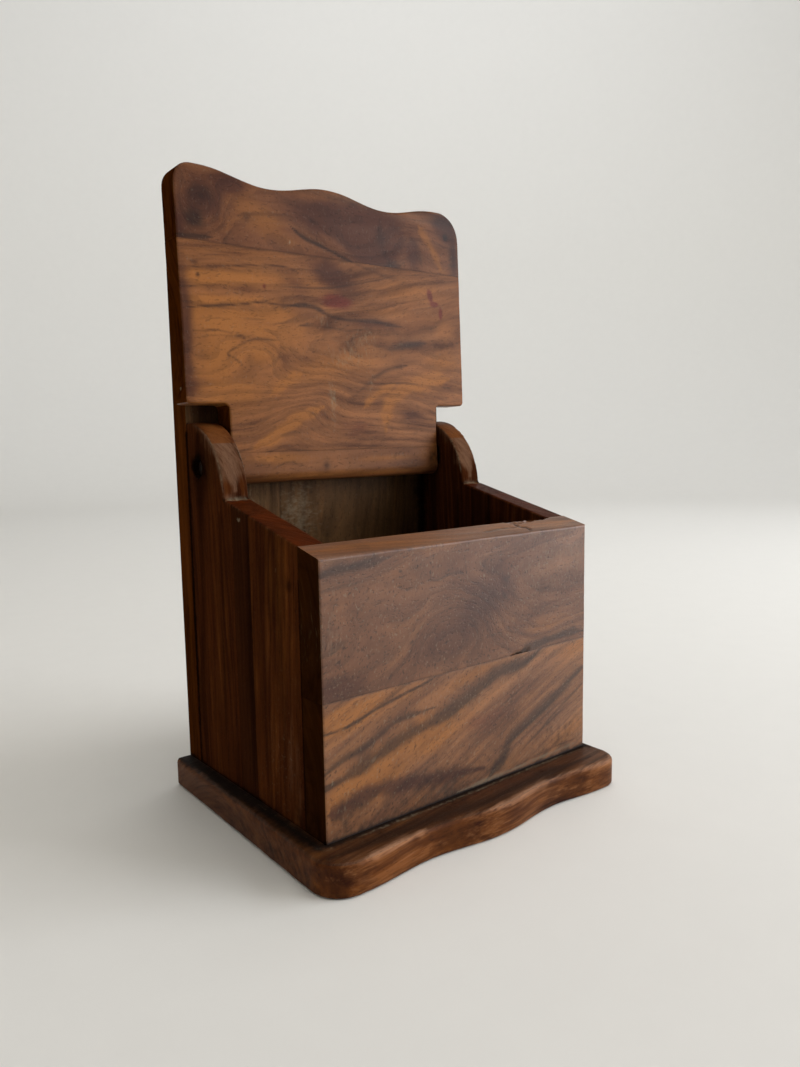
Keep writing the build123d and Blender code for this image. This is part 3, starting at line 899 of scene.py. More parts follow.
lower_front_timber = Timber(
    seed=10, pith=(20.0, -35.0), tilt=(0.42, 0.0), wander=2.5, base=(0.0, 0.27, 0.1, 0.0, 0.0),
    veins=(
        Stroke(((-69, 50), (-56.5, 51.1), (-45, 54.3), (-33, 56.9), (-24.7, 58.4), (-18.2, 60)), 0.7, 1.0),
        Stroke(((-69, 35.6), (-59.6, 39.4), (-49.2, 42.2), (-37.3, 47.3), (-30.1, 48),
            (-18.4, 48.7)), 0.9, 0.75, 2.4),
        Stroke(((-69, 31), (-55, 34), (-42.5, 38), (-30.2, 41.4), (-14, 44.2), (-2.6, 48.5),
            (8.1, 52.4), (15.5, 55.4), (29.6, 56.2), (41.6, 61.5)), 2.9, 0.95, 1.5),
        Stroke(((8, 13), (15.4, 18), (21.8, 25.6), (35, 31.7), (48.8, 38.1), (60.3, 44.5),
            (69, 48.5)), 2.0, 0.9, 1.7),
        Stroke(((34, 22), (46, 30), (58, 36), (69, 41.5)), 0.8, 0.6),
        Stroke(((-4, 9.4), (-3, 9.7), (35, 15.5), (69, 16.8)), 0.6, 0.6),
        Stroke(((-20, 12), (10, 17), (30, 21)), 2.6, 0.35),
        Stroke(((-67.5, 66, 101.8), (-67.5, 50, 101.2), (-67.5, 36, 101.5), (-67.5, 12, 101)), 3.6, 0.8),
    ),
    honey=(
        Patch(-25, 40.1, 16, 5, 0.8, 14), Patch(-51.4, 29, 16, 6.5, 1.0, 12),
        Patch(-56, 54, 17, 5.0, 1.0, 10), Patch(-15, 35.6, 18, 3.6, 0.5, 14),
        Patch(58, 21, 12, 4, 0.5, 12), Patch(60, 57.5, 11, 3.2, 0.5, 12), Patch(0, 57, 14, 2.5, 0.4, 8),
    ),
    plum=(
        Stroke(((-66, 22), (-62.9, 22.3), (-45.8, 25.1), (-19.9, 21.7), (6.7, 18.6)), 3.6, 0.85),
        Patch(16, 36, 20, 8, 0.55, 14), Patch(44, 33, 24, 9, 0.4, 16), Patch(40, 46, 16, 5, 0.35, 14),
        Patch(-30, 14, 30, 4, 0.4),
    ),
    # The broad pale patches along the foot and on the right, and the pale line along the foot, are dust with
    # a painted sheen.
    dust=(
        Patch(-14.4, 16.5, 17, 3.2, 0.35, 8), Patch(9.1, 14.8, 16, 2.6, 0.3, 6),
        Patch(36, 18, 22, 1.6, 0.3, 6), Stroke(((-8, 12.9), (20, 13.4), (45, 14.2), (68, 14.8)), 0.8, 0.7),
        Patch(48, 52, 20, 6, 0.2, 10), Stroke(((-57.6, 29.4), (-60, 20.5), (-61.4, 12.2)), 0.4, 0.7),
        Patch(-47, 36.5, 3.5, 1.0, 0.5, 20),
    ),
    red=(Patch(3.2, 37.5, 9, 5, 0.35), Patch(15.4, 39.1, 6, 3, 0.3)),
)
CRACK = ((36.1, 109, 93.2), (33.5, 109, 97.3), (33.6, 109, 99.3), (36, 109, 100.9), (34.3, 109, 104.2))
SIDE_CRACK = ((10.7, 109, 100.6), (24.4, 109, 98.8), (31.4, 109, 99.7))
upper_front_timber = Timber(
    seed=11, pith=(4.0, -30.0), tilt=(0.08, 0.05), wander=3.5, base=(0.03, 0.05, 0.5, 0.08, 0.0),
    swirls=(Patch(-9.2, 76, 25, 16, 13.0, 8), Patch(-45, 84, 16, 12, 4.0)),
    veins=(
        Stroke(((-69, 103), (-60, 104.6), (-50, 105.2), (-38.9, 106.5)), 2.6, 0.75, 1.4),
        Stroke(((26, 60.4), (38, 62.2), (48.6, 63.4), (69, 63.6)), 1.5, 0.8, 1.8),
        Stroke(((24, 60.6), (27, 60.9), (31.5, 61.4)), 0.8, 1.0),
        Stroke(((-2.4, 104), (-2.5, 99.9), (-2.1, 96)), 0.5, 0.6),
        Stroke(((-67.5, 112, 103.8), (-67.5, 85, 103.0), (-67.5, 70, 102), (-67.5, 54, 101.8)), 2.4, 0.85),
        Stroke(CRACK, 0.9, 1.0), Stroke(SIDE_CRACK, 0.8, 0.7),
        Stroke(((-44, 83.5), (-34, 84.3), (-27, 83.6)), 0.4, 0.5), Patch(-33.6, 101.1, 1.3, 0.7, 0.9, -30),
        Patch(-29.1, 74.9, 1.8, 0.7, 0.8, 10), Patch(-58.4, 78.1, 0.8, 0.9, 0.9),
        Patch(11.9, 70.7, 2.2, 0.6, 0.6), Patch(10, 84, 8, 7, 0.35), Patch(-26, 103, 5, 4, 0.35),
        Patch(46, 102, 9, 5, 0.3),
    ),
    honey=(
        Stroke(((-67.5, 110, 95.4), (-67.5, 100, 97), (-67.5, 84, 95.6)), 2.2, 0.8),
        Stroke(((-69, 109, 99.5), (-20, 109, 100.5), (20, 109, 98), (69, 109, 99.5)), 6.5, 0.85),
        Patch(-32, 99.3, 9, 5, 0.3), Patch(-13.3, 100.5, 8, 4, 0.3), Patch(41.6, 69.9, 14, 4, 0.4, 6),
        Patch(-56, 92, 10, 7, 0.25), Patch(-58, 70, 8, 6, 0.25), Patch(-30, 68, 5, 6, 0.25),
    ),
    plum=(Patch(-60, 64, 12, 4, 0.4), Patch(12, 88, 15, 8, 0.45), Patch(-8, 72, 20, 9, 0.3)),
    # The broad pale patch on the right is a painted sheen; the other two are dust.
    dust=(Patch(-63, 84, 5, 12, 0.3), Patch(-42, 72, 8, 5, 0.18), Patch(48, 94, 26, 18, 0.28)),
    red=(Patch(30, 80, 9, 7, 0.15),),
    cuts=(
        Stroke(CRACK, 0.8, 0.7),
        Stroke(((31, 109, 93.2), (37, 109, 94.6), (47, 109, 93.4), (57.5, 109, 93.2)), 1.3, 0.8),
        Stroke(SIDE_CRACK, 0.8, 0.25),
        Stroke(((22, 60.5, 105.5), (27, 60.7, 105.5), (33, 61.2, 105.5)), 0.7, 0.5),
    ),
)
lid_main_timber = Timber(
    seed=12, pith=(8.0, -34.0), tilt=(0.05, 0.06), wander=4.0, base=(0.0, 0.3, 0.0, 0.0, 0.0),
    swirls=(Patch(-42, 44, 13, 8, 5.0), Patch(12, 45, 24, 14, -3.0, 25), Patch(-20, 20, 22, 9, 6.0, 35)),
    veins=(
        Stroke(((-71, 76.4), (-64.1, 77.2), (-53.7, 78.6), (-36.9, 80.9), (-24.1, 81.0),
            (-17.9, 78.7)), 0.6, 0.65),
        Stroke(((-74, 69), (-71.1, 69.4), (-59.1, 70.9), (-49.1, 71.3)), 0.5, 0.6),
        Stroke(((-69.5, 66.3), (-54.4, 67.8), (-36.2, 71.1)), 0.5, 0.4),
        Stroke(((-74.5, 60.9), (-63.9, 62.3), (-47, 64.5), (-36.5, 66.2), (-27.1, 65.3),
            (-15.8, 66.8)), 0.55, 0.85, 1.5),
        Stroke(((-24, 66.2), (-19.3, 66.2), (-12.3, 66.0), (-5, 63.1), (4, 61.8), (19, 62.2),
            (28, 61.3), (40, 61.2)), 0.9, 0.8, 1.6),
        Stroke(((-22, 57.6), (-15, 58.4), (-9.9, 58.3), (0, 57.6), (6.5, 57.4),
            (14, 58.4)), 0.7, 0.7, 1.4),
        Stroke(((8, 87.3), (14, 85.6), (20.3, 84.3), (27.8, 82.6), (40, 83)), 0.8, 0.5, 1.6),
        Patch(43, 52.5, 10, 2.2, 0.3, 4),
        Stroke(((-70.1, 57.2), (-61.1, 58.1), (-52.5, 58.5), (-34.3, 59.2)), 0.5, 0.45),
        Stroke(((-72.2, 52.2), (-59, 53.6), (-47.8, 52.1), (-45.3, 50.5)), 0.6, 0.6),
        Stroke(((-66.5, 50.4), (-57.3, 51.8), (-46.6, 51.3)), 0.5, 0.5),
        Stroke(((-27.9, 51.5), (-38, 51.4), (-45.4, 49.9), (-54, 45), (-51, 42.9),
            (-46.1, 39.1)), 0.7, 0.65),
        Stroke(((-36.2, 48.7), (-30.4, 44.9), (-35.4, 40.6), (-44.8, 38)), 0.8, 0.35),
        Stroke(((-62, 38), (-52, 35), (-43.4, 39.8), (-38, 42.8), (-26, 45)), 0.9, 0.3),
        Stroke(((-47, 7.4), (-41.6, 13.3), (-37.7, 20.1), (-32.9, 26.2), (-24, 31)), 1.6, 0.25),
        Stroke(((-32.9, 11.7), (-22, 13.8), (-6.7, 16.1)), 1.2, 0.4),
        Stroke(((8, 29.9), (18.7, 36.7), (25.2, 40.2), (39, 44)), 1.6, 0.45),
        Stroke(((12.8, 35.4), (21.9, 39.5), (28.7, 42), (39.1, 43.7)), 0.8, 0.3),
        Stroke(((16.1, 52.1), (29.2, 50.8), (39.6, 53), (52, 54.7)), 1.5, 0.55, 1.6),
        Stroke(((23.5, 70), (37.1, 72.4), (52.9, 72.8), (69.6, 73.5)), 0.6, 0.25),
        Stroke(((40, 10), (44, 18), (43, 26)), 1.6, 0.3),
        Stroke(((22, 7), (22.5, 12), (27, 20)), 1.4, 0.35), Patch(-66.5, 79.0, 2.4, 1.1, 0.7, -10),
        Patch(-65, 74.3, 0.9, 0.9, 0.95), Patch(30, 86.4, 12, 1.6, 0.5),
    ),
    honey=(
        Patch(-46, 75, 22, 3.6, 0.6, 4), Patch(-60, 73.5, 9, 2.6, 0.6), Patch(-56, 65, 18, 2.0, 0.95, 4),
        Patch(-54, 60, 22, 2.2, 0.95, 3), Patch(-28, 62, 12, 2.2, 0.5), Patch(-42, 55.5, 22, 2.4, 0.5, 2),
        Patch(-38, 45, 7, 4, 0.6), Patch(-58, 44, 10, 12, 0.6), Patch(-40, 85, 18, 2.4, 0.2),
        Stroke(((-44.5, 7.4), (-36.5, 11), (-29.1, 15.5), (-21.6, 19.7), (-10.1, 24)), 2.2, 1.0),
        Stroke(((-35.4, 29.2), (-28, 33.9), (-20.5, 37.9)), 1.8, 0.7),
        Stroke(((23.8, 13.3), (25.5, 24.3), (34.7, 32), (52, 36.7), (64, 38)), 3.0, 0.8),
        Stroke(((12, 24), (18.3, 29.2), (30.3, 35)), 1.8, 0.6), Patch(42, 77, 24, 5, 0.32),
        Patch(30, 67, 16, 2.4, 0.25), Patch(62, 62, 10, 6, 0.2), Patch(60, 46, 12, 5, 0.4),
        Patch(-12, 76, 5, 3, 0.2), Patch(-10, 40, 26, 6, 0.4, 12), Patch(-48, 28, 14, 7, 0.4, 10),
        Patch(-30, 52, 12, 4, 0.4),
    ),
    plum=(
        Patch(-44, 71.0, 8, 2.4, 0.5), Patch(-22, 75.9, 9, 4, 0.5, -25), Patch(-6, 81, 16, 6, 0.55, -22),
        Patch(-20, 70, 12, 4, 0.35, -20), Patch(-19, 62.6, 10, 3.6, 0.5), Patch(-30, 82, 14, 3.4, 0.35),
        Patch(2, 79, 15, 8, 0.5, -28), Patch(37.9, 20.3, 7, 4, 0.4), Patch(-72.0, 55, 3.6, 34, 1.0),
        Patch(20, 61, 20, 3.0, 0.7), Patch(40, 53, 20, 3.4, 0.6), Patch(60, 84, 8, 3, 0.45),
        Patch(44, 19, 12, 5, 0.4), Patch(-66, 33, 8, 5, 0.3), Patch(2, 52, 18, 8, 0.2),
        Patch(14, 10, 16, 5, 0.3), Patch(-46, 36, 8, 4, 0.35),
    ),
    dust=(
        Patch(3.5, 47, 12, 8, 0.5, 20), Patch(-5, 28.5, 2.4, 7, 0.65, 4), Patch(-4.9, 17, 2.2, 6, 0.4),
        Patch(16.4, 33.7, 2.6, 6, 0.45, -15), Patch(-8, 61, 6, 2.6, 0.5), Patch(16, 56, 9, 4, 0.35),
        Patch(-68.1, 79.6, 1.6, 1.1, 0.6), Patch(-62.3, 32.7, 1.0, 0.7, 0.8), Patch(34, 53, 3, 1, 0.5, 15),
        Stroke(((-72.9, 30.4, 1.5), (-72.9, 31.8, 1.0)), 0.9, 1.0),
    ),
    red=(
        Patch(0.3, 69.2, 8, 3.4, 1.0), Patch(53.6, 76.6, 1.5, 2.8, 1.3, 20),
        Patch(56.1, 72.8, 2.6, 1.3, 1.2), Patch(60, 68.6, 1.2, 2.8, 1.2), Patch(-36, 72.6, 1.0, 1.2, 0.8),
        Patch(7.2, 16, 12, 5, 0.3),
    ),
)
lid_edge_timber = Timber(
    seed=13, pith=(-12.0, -30.0), tilt=(-0.1, 0.04), wander=4.0, base=(0.1, 0.04, 0.46, 0.0, 0.0),
    swirls=(Patch(-62, 101, 9, 9, 8.0), Patch(14, 97, 26, 10, 6.0)),
    veins=(
        Patch(-65.6, 95.2, 3.8, 3.4, 1.0), Patch(-61.8, 104.8, 4.6, 3.2, 0.7),
        Patch(64.4, 104.7, 1.4, 1.4, 0.9), Patch(-42.3, 98.6, 1.6, 1.6, 0.45),
        Stroke(((-23, 98.6), (-15.7, 94.4), (-6, 91.6), (3.5, 88.7), (11, 86.4)), 0.7, 0.8, 1.4),
        Stroke(((-74, 88.4), (-66, 88.6), (-58, 89.2)), 1.0, 0.7),
        Stroke(((25.6, 108.4), (25.1, 99), (29.6, 90), (36.1, 87.6)), 3.0, 0.4),
        Stroke(((42.1, 103.1), (47, 97.6), (49, 89.8)), 1.8, 0.35), Patch(69, 98, 3.4, 12, 0.5),
        Patch(60, 112, 12, 3, 0.5), Patch(0, 113.5, 40, 1.8, 0.3),
    ),
    honey=(
        Patch(-33.6, 98.2, 9, 5, 0.8, -15), Patch(-23.5, 91.4, 9, 3.2, 0.5, -15),
        Patch(35.3, 101.4, 5, 4, 0.45), Stroke(((48, 108), (51, 104), (56, 98), (61, 90)), 2.6, 0.85),
        Patch(-45.1, 107.2, 7, 4, 0.4), Patch(-52, 94, 8, 4, 0.35), Patch(-10, 112, 16, 2.2, 0.4),
        Patch(60, 88.6, 9, 2, 0.4),
    ),
    plum=(
        Patch(-1, 103.3, 18, 5.6, 1.0, -5), Patch(31.3, 99.9, 7, 8, 0.9), Patch(66, 110, 8, 6, 0.8),
        Patch(-62, 103, 8, 7, 0.6), Patch(-48.8, 110.4, 6, 3, 0.7), Patch(15.7, 94, 12, 6, 1.0, -20),
        Patch(70, 96, 2.4, 9, 0.5), Patch(-72, 92, 3, 6, 0.5), Patch(44, 95, 4, 7, 0.6),
        Patch(14, 109, 12, 3, 0.5),
    ),
    dust=(Patch(-22.7, 91.7, 0.7, 0.9, 0.9), Patch(-63, 99, 6, 4, 0.15)),
)
strip_timber = Timber(
    seed=14, fibres=2, seen=(2, 0), pith=(0.0, -60.0), wander=2.0, base=(0.0, 0.2, 0.0, 0.05, 0.0),
    veins=(
        Patch(-9.7, -1.5, 2.6, 3.0, 0.7), Stroke(((-38, -2.4), (-30, 0.6), (-20, -1.0)), 0.7, 0.5),
        Patch(20, 3, 16, 0.7, 0.35), Patch(51, -2, 4, 8, 0.6),
    ),
    honey=(Patch(-33, 2.6, 14, 1.8, 0.7), Patch(24, 1.0, 20, 1.2, 0.5)),
    dust=(Patch(30, 2.4, 18, 1.2, 0.3), Patch(40, -1.5, 4, 1.5, 0.3)),
)


# ---- colours and materials ----


def linear(text):
    """An sRGB hex colour as linear RGB: ((c + 0.055) / 1.055)^2.4, or c / 12.92 near black."""
    parts = [int(text[k : k + 2], 16) / 255 for k in (1, 3, 5)]
    return tuple(c / 12.92 if c <= 0.04045 else ((c + 0.055) / 1.055) ** 2.4 for c in parts)


def colour(text, name, description):
    """A colour property from an sRGB hex colour."""
    settings = {"default": linear(text), "size": 3, "min": 0, "max": 1, "subtype": "COLOR"}
    return FloatVectorProperty(name=name, description=description, **settings)


class SaltBoxColours(bpy.types.PropertyGroup):
    """Colours of the wood, its marks and the rest."""

    lid_dark: colour("#4a2914", "Lid, dark", "Dark streaks of the lid")
    lid_light: colour("#965f36", "Lid, light", "Light streaks of the lid")
    front_dark: colour("#5e3a24", "Front, dark", "Dark streaks of the front")
    front_light: colour("#a06e4a", "Front, light", "Light streaks of the front")
    # The colours of the sides and the strips are kept dark partly as painted shade of the left side, which
    # faces away from the light.
    side_dark: colour("#31170a", "Sides, dark", "Dark streaks of the sides")
    side_light: colour("#532a11", "Sides, light", "Light streaks of the sides")
    strip_dark: colour("#2a1408", "Dark strips, dark", "Dark streaks of the middle boards of the sides")
    strip_light: colour("#462612", "Dark strips, light", "Light streaks of the middle boards of the sides")
    back_dark: colour("#3c2813", "Back, dark", "Dark streaks of the back")
    back_light: colour("#785838", "Back, light", "Light streaks of the back")
    base_dark: colour("#2a1206", "Base, dark", "Dark streaks of the base")
    base_light: colour("#6c4321", "Base, light", "Light streaks of the base")
    honey: colour("#9e6229", "Honey", "Golden bands between the veins")
    plum: colour("#3b190d", "Plum", "Purplish clouds in the heartwood")
    vein: colour("#180a04", "Vein", "Black-brown mineral veins")
    red: colour("#5e1c14", "Red", "Small reddish stains")
    # This colour also paints the shade in the box's corners and round the hinges.
    dirt_and_shade: colour("#0d0603", "DirtAndShade", "Old wax and dirt in the joints")
    # This colour also paints a sheen and a pool of light on some faces.
    dust: colour("#8a7c66", "Dust", "Pale scuffs and salt dust")
    wear: colour("#70523e", "Worn edge", "Wood laid bare along the edges")
    steel: colour("#1c1815", "Screws", "Darkened steel of the screws")
    paper: colour("#e6e4de", "Studio", "Floor and backdrop")


def length(name, description, default, low, high):
    """A length property, in metres."""
    limits = {"default": default, "min": low, "max": high}
    return FloatProperty(name=name, description=description, subtype="DISTANCE", unit="LENGTH", **limits)


def power(name, description, default):
    """The power of a lamp, in watts."""
    return FloatProperty(name=name, description=description, default=default, min=0, unit="POWER")


class SaltBoxSizes(bpy.types.PropertyGroup):
    """Sizes of the wood's surface and of the studio."""

    hollow: length("Hollows", "How deep hand work has left the faces uneven", 0.12 * MM, 0, 1 * MM)
    ring: length("Growth ring", "Distance between two growth rings", 2.4 * MM, 0.5 * MM, 10 * MM)
    relief: length("Relief", "Depth of the open pores and rings", 0.10 * MM, 0, 1 * MM)
    key_power: power("Window light", "Power of the large soft light", 26.0)
    top_power: power("Top light", "Power of the soft light above", 9.0)
    back_power: power("Backdrop light", "Power of the light on the backdrop", 13.0)
    key_size: length("Window size", "Side of the large soft light", 1.1, 0.1, 10)


class Nodes:
    """A new material, and what adds nodes to it."""

    def __init__(self, name):
        self.material = bpy.data.materials.new(name)
        self.material.use_nodes = True
        self.tree = self.material.node_tree
        self.tree.nodes.clear()

    def add(self, kind, inputs=None, out=0, **settings):
        """Adds a node with its settings; each input gets a link or a value. Gives back one output, or
        all of them where out is None."""
        node = self.tree.nodes.new("ShaderNode" + kind)
        for key, value in settings.items():
            setattr(node, key, value)
        for key, value in (inputs or {}).items():
            if isinstance(value, bpy.types.NodeSocket):
                self.tree.links.new(value, node.inputs[key])
            else:
                node.inputs[key].default_value = value
        return node.outputs if out is None else node.outputs[out]

    def times(self, value, factor, plus=0.0):
        """value x factor + plus."""
        return self.add("Math", {0: value, 1: factor, 2: plus}, operation="MULTIPLY_ADD")

    def ramp(self, value, low, high, start=0.0, stop=1.0, shape="LINEAR"):
        """From start, where the value is low, to stop, where it is high, and level past both."""
        limits = {0: value, 1: low, 2: high, 3: start, 4: stop}
        return self.add("MapRange", limits, interpolation_type=shape)

    def step(self, value, low, high):
        """A ramp from 0 to 1 that starts and ends softly."""
        return self.ramp(value, low, high, shape="SMOOTHSTEP")

    def mix(self, factor, below, above):
        """One colour over another."""
        below, above = (c if isinstance(c, bpy.types.NodeSocket) else (*c, 1.0) for c in (below, above))
        return self.add("Mix", {0: factor, 6: below, 7: above}, out=2, data_type="RGBA")

    def surface(self, inputs):
        """Ends the material with its surface."""
        self.add("OutputMaterial", {"Surface": self.add("BsdfPrincipled", inputs)}, out=None)
        return self.material


def oiled_walnut(name, finish, edge):
    """Old walnut, planed by hand, oiled and waxed: a soft sheen over streaks from gold to black-brown,
    with short open pores, rings in slight relief, dirt and painted shade in the joints and corners, dust
    with painted sheen on some faces, and bare wood at the edges. End grain has drunk more oil, so it is
    duller and has its own colour, kept dark partly as painted shade of the ends turned from the light."""
    colours, sizes = bpy.context.scene.salt_box_colours, bpy.context.scene.salt_box_sizes
    specks = 0.0 if edge else finish.specks
    figured = 0.3 if edge else 1.0
    nodes = Nodes(name)
    times, step = nodes.times, nodes.step

    def shaded(value):
        """A colour on the face, or as the end grain or edge darkens it, partly as painted shade."""
        return [k * c for k, c in zip(finish.edge_shade, value)] if edge else value

    def masked(mark, breaker, spread, low, high):
        """A mark whose edge is broken up by a pattern."""
        return step(times(breaker, spread, mark), low + spread / 2, high + spread / 2)

    def laid_over(wood, layers):
        """Colours over the wood, each by its mask and its strength."""
        for mask, tint, strength in layers:
            wood = nodes.mix(times(mask, strength), wood, tint)
        return wood

    def attribute(field, out):
        """What the mesh says at each point."""
        return nodes.add("Attribute", out=out, attribute_name=field)

    grain = attribute("grain", "Vector")
    vein, honey, plum = nodes.add("SeparateColor", {0: attribute("figure", "Color")}, out=None)
    wear, dirt_and_shade, seam = nodes.add("SeparateColor", {0: attribute("state", "Color")}, out=None)
    dust, red = attribute("figure", "Alpha"), attribute("state", "Alpha")

    # Size of each pattern in mm, along the fibres, across the rings and round them, and its detail.
    # Real pores are 0.2 mm wide and are drawn at 0.42 mm to show.
    patterns = {
        "band": ((110.0, 10.0, 24.0), 2.0),
        "streak": ((48.0, 2.6, 4.0), 3.0),
        "fibre": ((20.0, 0.9, 0.9), 3.0),
        "pore": ((2.4, 0.42, 0.42), 1.0),
        "hair": ((70.0, 1.2, 2.4), 1.0),
        "cloud": ((14.0, 8.0, 8.0), 3.0),
        "fleck": ((1.3, 1.3, 1.3), 1.0),
        "speck": ((0.9, 0.6, 0.6), 2.0),
    }
    field = {}
    for key, (size, detail) in patterns.items():
        scaled = nodes.add("VectorMath", {0: grain, 1: [1 / s for s in size]}, operation="MULTIPLY")
        pattern = {"Vector": scaled, "Scale": 1.0, "Detail": detail, "Roughness": 0.55, "Distortion": 0.15}
        field[key] = nodes.add("TexNoise", pattern)
    band, streak, fibre, pore, hair, cloud, fleck, speck = field.values()

    # Rings: a saw wave on the distance from the pith, bent by the clouds; its last part is latewood.
    bent = times(cloud, 3.0, nodes.add("SeparateXYZ", {0: grain}, out="Y"))
    turns = nodes.add("Math", {0: bent, 1: sizes.ring / MM}, operation="DIVIDE")
    saw = nodes.add("Math", {0: turns}, operation="FRACT")
    ring = times(step(saw, 0.25, 0.92), step(saw, 1.0, 0.92))

    # Tone: broad bands, streaks and fibres together.
    tone = times(fibre, 0.5, times(streak, 1.5, times(band, 1.3, -0.65)))
    wood = nodes.mix(nodes.ramp(tone, 0.55, 1.45), shaded(finish.dark), shaded(finish.light))

    torn = times(nodes.add("Math", {0: streak, 1: fibre}, operation="ADD"), 0.5)
    bare_wood = [finish.bare * c for c in colours.wear]
    wood = laid_over(wood, (
        (masked(honey, streak, 0.9, 0.05, 0.95), shaded(colours.honey), 0.85 * figured),
        (cloud, shaded(colours.plum), 0.2),
        (masked(plum, band, 0.8, 0.1, 1.0), shaded(colours.plum), 0.85 * figured),
        (masked(red, cloud, 0.4, 0.1, 0.75), shaded(colours.red), 0.75 * figured),
        (masked(vein, torn, 1.3, 0.08, 1.0), shaded(colours.vein), finish.veins * figured),
        (masked(wear, torn, 1.6, 0.15, 1.0), shaded(bare_wood), 0.8),
    ))

    # Rings, pores, hair lines and dark specks darken the wood, and pale specks, seams, dirt with painted
    # shade, and dust with painted sheen cover it.
    pores = step(pore, 0.58, 0.72)
    seamed = masked(seam, cloud, 1.2, 0.2, 1.0)
    # Dirt, with painted shade in the corners.
    dirt_and_shade_mask = masked(dirt_and_shade, fleck, 0.35, 0.1, 0.8)
    # Dust, and the painted sheen and light laid on some faces.
    dusty = masked(dust, fleck, 1.0, 0.25, 1.0)
    wood = laid_over(wood, (
        (ring, colours.vein, 0.04 if edge else 0.2),
        (pores, colours.vein, finish.open_pores),
        (step(hair, 0.62, 0.8), colours.vein, 0.0 if edge else 0.4),
        (step(speck, 0.4, 0.28), colours.vein, 0.55 * specks),
        (step(speck, 0.58, 0.74), colours.dust, 0.3 * specks),
        (seamed, colours.dirt_and_shade, 0.3),
        (dirt_and_shade_mask, colours.dirt_and_shade, 0.93),
        (dusty, colours.dust, 0.55),
    ))

    rough = times(dusty, 0.3, times(dirt_and_shade_mask, 0.25, nodes.ramp(streak, 0.3, 0.7, 0.50, 0.38)))
    height = times(seamed, -0.4, times(fibre, 0.5, times(pores, -0.4, times(ring, 0.12))))
    bump = nodes.add("Bump", {"Height": height, "Distance": sizes.relief, "Strength": 0.7})
    gloss = finish.edge_gloss if edge else finish.gloss
    return nodes.surface(
        {"Base Color": wood, "Roughness": rough, "Normal": bump, "IOR": 1.5, "Specular IOR Level": gloss}
    )


def darkened_steel():
    """Mild steel screws, turned and then darkened by age: dull brown-black with brighter rubbed spots."""
    colours = bpy.context.scene.salt_box_colours
    nodes = Nodes("darkened steel")
    place = nodes.add("TexCoord", out="Object")
    spots = nodes.add("TexNoise", {"Vector": place, "Scale": 900.0, "Detail": 4.0, "Roughness": 0.6})
    tint = nodes.mix(nodes.ramp(spots, 0.45, 0.65), colours.steel, linear("#3a2416"))
    rough = nodes.ramp(spots, 0.3, 0.7, 0.38, 0.65)
    bump = nodes.add("Bump", {"Height": spots, "Distance": 0.05 * MM, "Strength": 0.5})
    return nodes.surface({"Base Color": tint, "Metallic": 0.85, "Roughness": rough, "Normal": bump})


def eggshell_paper():
    """Matte seamless studio paper: pale, with a barely visible tooth."""
    colours = bpy.context.scene.salt_box_colours
    nodes = Nodes("matte studio paper")
    place = nodes.add("TexCoord", out="Object")
    tooth = nodes.add("TexNoise", {"Vector": place, "Scale": 60.0, "Detail": 5.0})
    tint = nodes.mix(tooth, [0.97 * c for c in colours.paper], colours.paper)
    return nodes.surface({"Base Color": tint, "Roughness": 0.85})


class Finish(NamedTuple):
    """How a wood is finished."""

    dark: tuple
    light: tuple
    gloss: float            # specular level
    open_pores: float
    specks: float           # how much its face is dotted with pale and dark specks
    veins: float            # how black its veins are
    edge_gloss: float
    edge_shade: tuple       # colour of its end grain or edges, as a share of the face's red, green and blue; kept low partly as painted shade of ends turned from the light
    bare: float = 1.0       # how pale its bare wood is; on the base, pale enough that its worn marks paint highlights


def wood_for(slot, edge=False):
    """The material of a slot's faces, or of its end grain and edges, made when it is first asked for."""
    colours = bpy.context.scene.salt_box_colours
    woods = {
        # The low edge shades of lid and front, and the dark sides and strips, are partly painted shade of
        # faces turned from the light.
        "lid_wood": ("lid", "lid", 0.11, 0.3, 0.35, 0.8, 0.0, (0.34, 0.24, 0.09)),
        "front_wood": ("front", "front", 0.4, 0.35, 1.1, 0.75, 0.0, (0.13, 0.095, 0.05)),
        "side_wood": ("sides", "side", 0.0, 0.35, 0.15, 0.7, 0.03, (0.92, 0.6, 0.26)),
        "dark_strip_wood": ("strips", "strip", 0.0, 0.3, 0.1, 0.7, 0.03, (1.05, 0.66, 0.28)),
        "back_wood": ("back", "back", 0.04, 0.35, 0.3, 0.8, 0.0, (0.62, 0.34, 0.14)),
        # The base's bare wood is 2.1 times as pale, so that worn marks on its wavy front paint highlights.
        "base_wood": ("base", "base", 0.1, 0.35, 0.4, 0.8, 0.08, (1.1, 0.92, 0.66), 2.1),
    }
    name, stem, *values = woods[slot]
    finish = Finish(getattr(colours, stem + "_dark"), getattr(colours, stem + "_light"), *values)
    name = "oiled walnut, " + name + (", edges" if edge else "")
    return bpy.data.materials.get(name) or oiled_walnut(name, finish, edge)


EDGE_WEAR = 0.45            # how worn every edge is
LEVEL_FOOT = 4.0            # the lowest part of the box stands level: its faces turn uneven above it
HOLLOW_SIZE, HOLLOW_SEED = 24.0, 90
END_GRAIN = 0.7             # how far a face has to look along the fibres to show end grain
SHARP_ANGLE = 40            # in degrees


